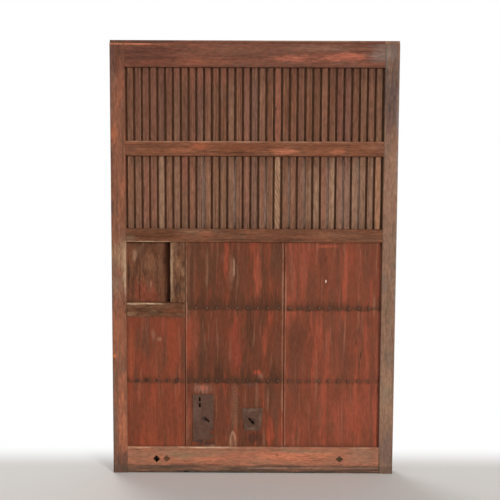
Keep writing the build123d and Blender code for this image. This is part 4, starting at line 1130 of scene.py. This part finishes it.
def forged_nails(node, name, wide, high, shank, finish):
    """Forged nails in the places of a node's plain ones, each head hammered a little differently."""
    sides, rim_height, tilt = 9, high * 0.4, 0.08
    low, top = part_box(node)
    bpy.ops.mesh.primitive_cylinder_add(vertices=sides, radius=wide / 2, depth=rim_height,
                                        rotation=(math.pi / 2, 0, 0))
    nail = bpy.context.object
    nail.name = name
    bpy.ops.object.transform_apply(location=False, rotation=True, scale=False)
    pick_faces(nail, lambda face: face.normal.y < -0.9)
    bpy.ops.mesh.inset(thickness=wide * 0.13, depth=high * 0.4)
    bpy.ops.mesh.inset(thickness=wide * 0.17, depth=high * 0.15)
    pick_faces(nail, lambda face: face.normal.y > 0.9)
    bpy.ops.mesh.inset(thickness=(wide - shank) / 2)
    bpy.ops.mesh.extrude_region_move(TRANSFORM_OT_translate={"value": (0, top.y - low.y - high, 0)})
    bpy.ops.transform.resize(value=(0.4, 1, 0.4))
    bpy.ops.mesh.select_all(action="SELECT")
    bpy.ops.transform.translate(value=(0, high * 0.8, 0))
    bpy.ops.object.mode_set(mode="OBJECT")
    nail.data.materials.append(finish)
    copies = []
    for place in heads_of(node):
        bpy.ops.object.select_all(action="DESELECT")
        nail.select_set(True)
        bpy.context.view_layer.objects.active = nail
        bpy.ops.object.duplicate(linked=False)
        copy = bpy.context.object
        copy.location = (place.x, low.y, place.z)
        copy.rotation_euler = (random.uniform(-tilt, tilt), random.uniform(0, 6), random.uniform(-tilt, tilt))
        copy.scale = (random.uniform(0.85, 1.1), 1, random.uniform(0.8, 1.05))
        bpy.ops.object.mode_set(mode="EDIT")
        bpy.ops.mesh.select_all(action="SELECT")
        bpy.ops.transform.vertex_random(offset=wide * 0.05, seed=random.randint(1, 999))
        bpy.ops.object.mode_set(mode="OBJECT")
        copies.append(copy)
    bpy.ops.object.select_all(action="DESELECT")
    nail.select_set(True)
    bpy.ops.object.delete()
    for copy in copies:
        copy.select_set(True)
    bpy.context.view_layer.objects.active = copies[0]
    bpy.ops.object.transform_apply(location=True, rotation=True, scale=True)
    bpy.ops.object.join()
    bpy.ops.object.transform_apply(location=True, rotation=True, scale=True)
    bpy.ops.object.shade_smooth_by_angle(angle=math.radians(35))
    joined = bpy.context.object
    joined.name = name
    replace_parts(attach(joined, "leaf"), node)
    bpy.ops.object.select_all(action="DESELECT")


random.seed(31)
# Soot on the left part of the lower nail row
soot = (
    ((-0.4, 0.384), (0.16, 0.03), (60, 40, 30), 0.85),
    ((-0.08, 0.384), (0.24, 0.03), (68, 45, 35), 0.75),
)
nail_iron = iron_finish("nail iron", (82, 58, 46), (94, 61, 45), (118, 88, 70), seed=1.0, smudges=soot)
forged_nails("board_nails", "forged_board_nails", wide=0.011, high=0.0035, shank=0.004, finish=nail_iron)
forged_nails("plate_nails", "forged_plate_nails", wide=0.0084, high=0.002, shank=0.003, finish=nail_iron)
smudges = (
    # Dark round the keyholes and at the left plate's foot
    ((-0.2, 0.225), (0.022, 0.014), (44, 31, 25), 0.8),
    ((-0.003, 0.214), (0.024, 0.02), (40, 29, 23), 0.8),
    ((-0.165, 0.17), (0.014, 0.03), (48, 34, 28), 0.8),
    ((-0.205, 0.13), (0.05, 0.01), (50, 37, 30), 0.8),
    # Paler at the plates' rims
    ((-0.23, 0.26), (0.025, 0.06), (104, 76, 64), 0.6),
    ((-0.003, 0.262), (0.05, 0.012), (112, 86, 68), 0.7),
    ((-0.005, 0.183), (0.04, 0.01), (114, 88, 70), 0.6),
    ((0.032, 0.225), (0.01, 0.05), (112, 86, 68), 0.6),
)
plate_iron = iron_finish("plate iron", (90, 61, 48), (76, 48, 36), (101, 72, 57), seed=2.0, smudges=smudges)
lay_on(plate_iron, "left_lock_plate", "right_lock_plate")


# BOLTS, WHEELS AND PLUGS
# Hardwood bolts drop through the bottom rail into the threshold. Two turned wooden wheels run in
# the rail's slots on iron axles, whose ends are closed by diamond plugs of darker wood.
bolts = WoodCoat(
    "bolt wood", pale=(140, 100, 74), dark=(98, 66, 46), streaked=(112, 76, 54), seed=22.0,
    heart=(0.1, 0.03, 0.2),
)
bolts.rub((156, 118, 92), radius=0.003, strength=0.5)
bolts.done("left_drop_bolt", "right_drop_bolt")
wheels = WoodCoat(
    "wheel wood", pale=(132, 96, 72), dark=(88, 60, 43), streaked=(100, 70, 50), seed=24.0,
    heart=(0.1, 0.03, 0.2),
)
wheels.rub((150, 114, 90), radius=0.002, strength=0.5)
wheels.done("left_wheel", "right_wheel")
axle_iron = iron_finish("axle iron", (80, 66, 58), (92, 62, 46), (110, 92, 80), seed=3.0)
lay_on(axle_iron, "wheel_axles")
plugs = WoodCoat(
    "plug wood", pale=(108, 78, 56), dark=(76, 50, 34), streaked=(88, 60, 42), along="X", seed=26.0,
    heart=(0.1, 0.03, 0.2),
)
# The right plug is the darker one
plugs.dab((0.356, 0.06), (0.04, 0.04), (64, 50, 36), 0.7, 0.3, 0.3)
plugs.rub((124, 94, 70), radius=0.002, strength=0.5)
plugs.done("axle_plugs")


# STUDIO
# A pale floor that runs out to white behind the door, in a plain white surround. A soft lamp stands
# to the right of the camera, and a weaker one behind the door lights its back.
def looked_at(tree):
    """One on the rays that the eye follows, straight, mirrored or through glass."""
    ray = put(tree, "LightPath").outputs
    turned = sums(tree, "MAXIMUM", ray["Is Glossy Ray"], ray["Is Transmission Ray"])
    return sums(tree, "MAXIMUM", ray["Is Camera Ray"], turned)


def add_lamp(spread, strength, along):
    bpy.ops.object.light_add(type="SUN")
    lamp = bpy.context.object
    lamp.data.angle = math.radians(spread)
    lamp.data.energy = strength
    lamp.rotation_euler = Vector(along).to_track_quat("-Z", "Y").to_euler()


floor_width, floor_level = 14, -0.0005
white = (1, 1, 1, 1)
bpy.ops.mesh.primitive_plane_add(size=floor_width, location=(0, 0, floor_level))
floor = bpy.context.object
floor.name = "studio_floor"
bpy.ops.object.transform_apply(location=True, rotation=True, scale=True)
floor_paint = new_finish("pale floor")
tree = floor_paint.node_tree
spot = put(tree, "TexCoord").outputs["Object"]
behind = fade(tree, axes(tree, spot)[1], 0.02, 0.3)
behind = sums(tree, "MAXIMUM", behind, fade(tree, length_of(tree, spot), 1.0, 2.2))
paint = mixed(tree, behind, tone(238, 233, 228), tone(244, 242, 240))
paint = put(tree, "BsdfPrincipled", {"Base Color": paint, "Roughness": 0.8}).outputs[0]
glow = put(tree, "Emission", {"Color": white, "Strength": 1.0}).outputs[0]
share = sums(tree, "MULTIPLY", looked_at(tree), behind)
put(tree, "OutputMaterial", {0: put(tree, "MixShader", {0: share, 1: paint, 2: glow}).outputs[0]})
floor.data.materials.append(floor_paint)
floor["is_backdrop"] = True

add_lamp(spread=16, strength=2.5, along=(-0.57, 0.8, -0.2))
add_lamp(spread=40, strength=1.4, along=(0.5, -0.8, -0.35))

surround = bpy.data.worlds.new("white surround")
surround.use_nodes = True
tree = surround.node_tree
tree.nodes.clear()
strength = sums(tree, "MULTIPLY_ADD", looked_at(tree), 0.62, 0.38)
sky = put(tree, "Background", {"Color": white, "Strength": strength})
put(tree, "OutputWorld", {0: sky.outputs[0]})
bpy.context.scene.world = surround

camera_place = (-0.0124, -2.9596, 1.1448)
camera_turns = ((0.0647, "Z"), (-4.3089, "X"), (-0.2371, "Y"), (90, "X"))
bpy.ops.object.camera_add()
camera = bpy.context.object
camera.data.sensor_width = 36
camera.data.lens = 52.56
stand = Matrix.Translation(camera_place)
for angle, axis in camera_turns:
    stand = stand @ Matrix.Rotation(math.radians(angle), 4, axis)
camera.matrix_world = stand
bpy.context.scene.camera = camera
bpy.context.scene.view_settings.view_transform = "Standard"

sizes = {"cad": cad_box, "visual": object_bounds()}
sizes = {name: [list(corner) for corner in box] for name, box in sizes.items()}
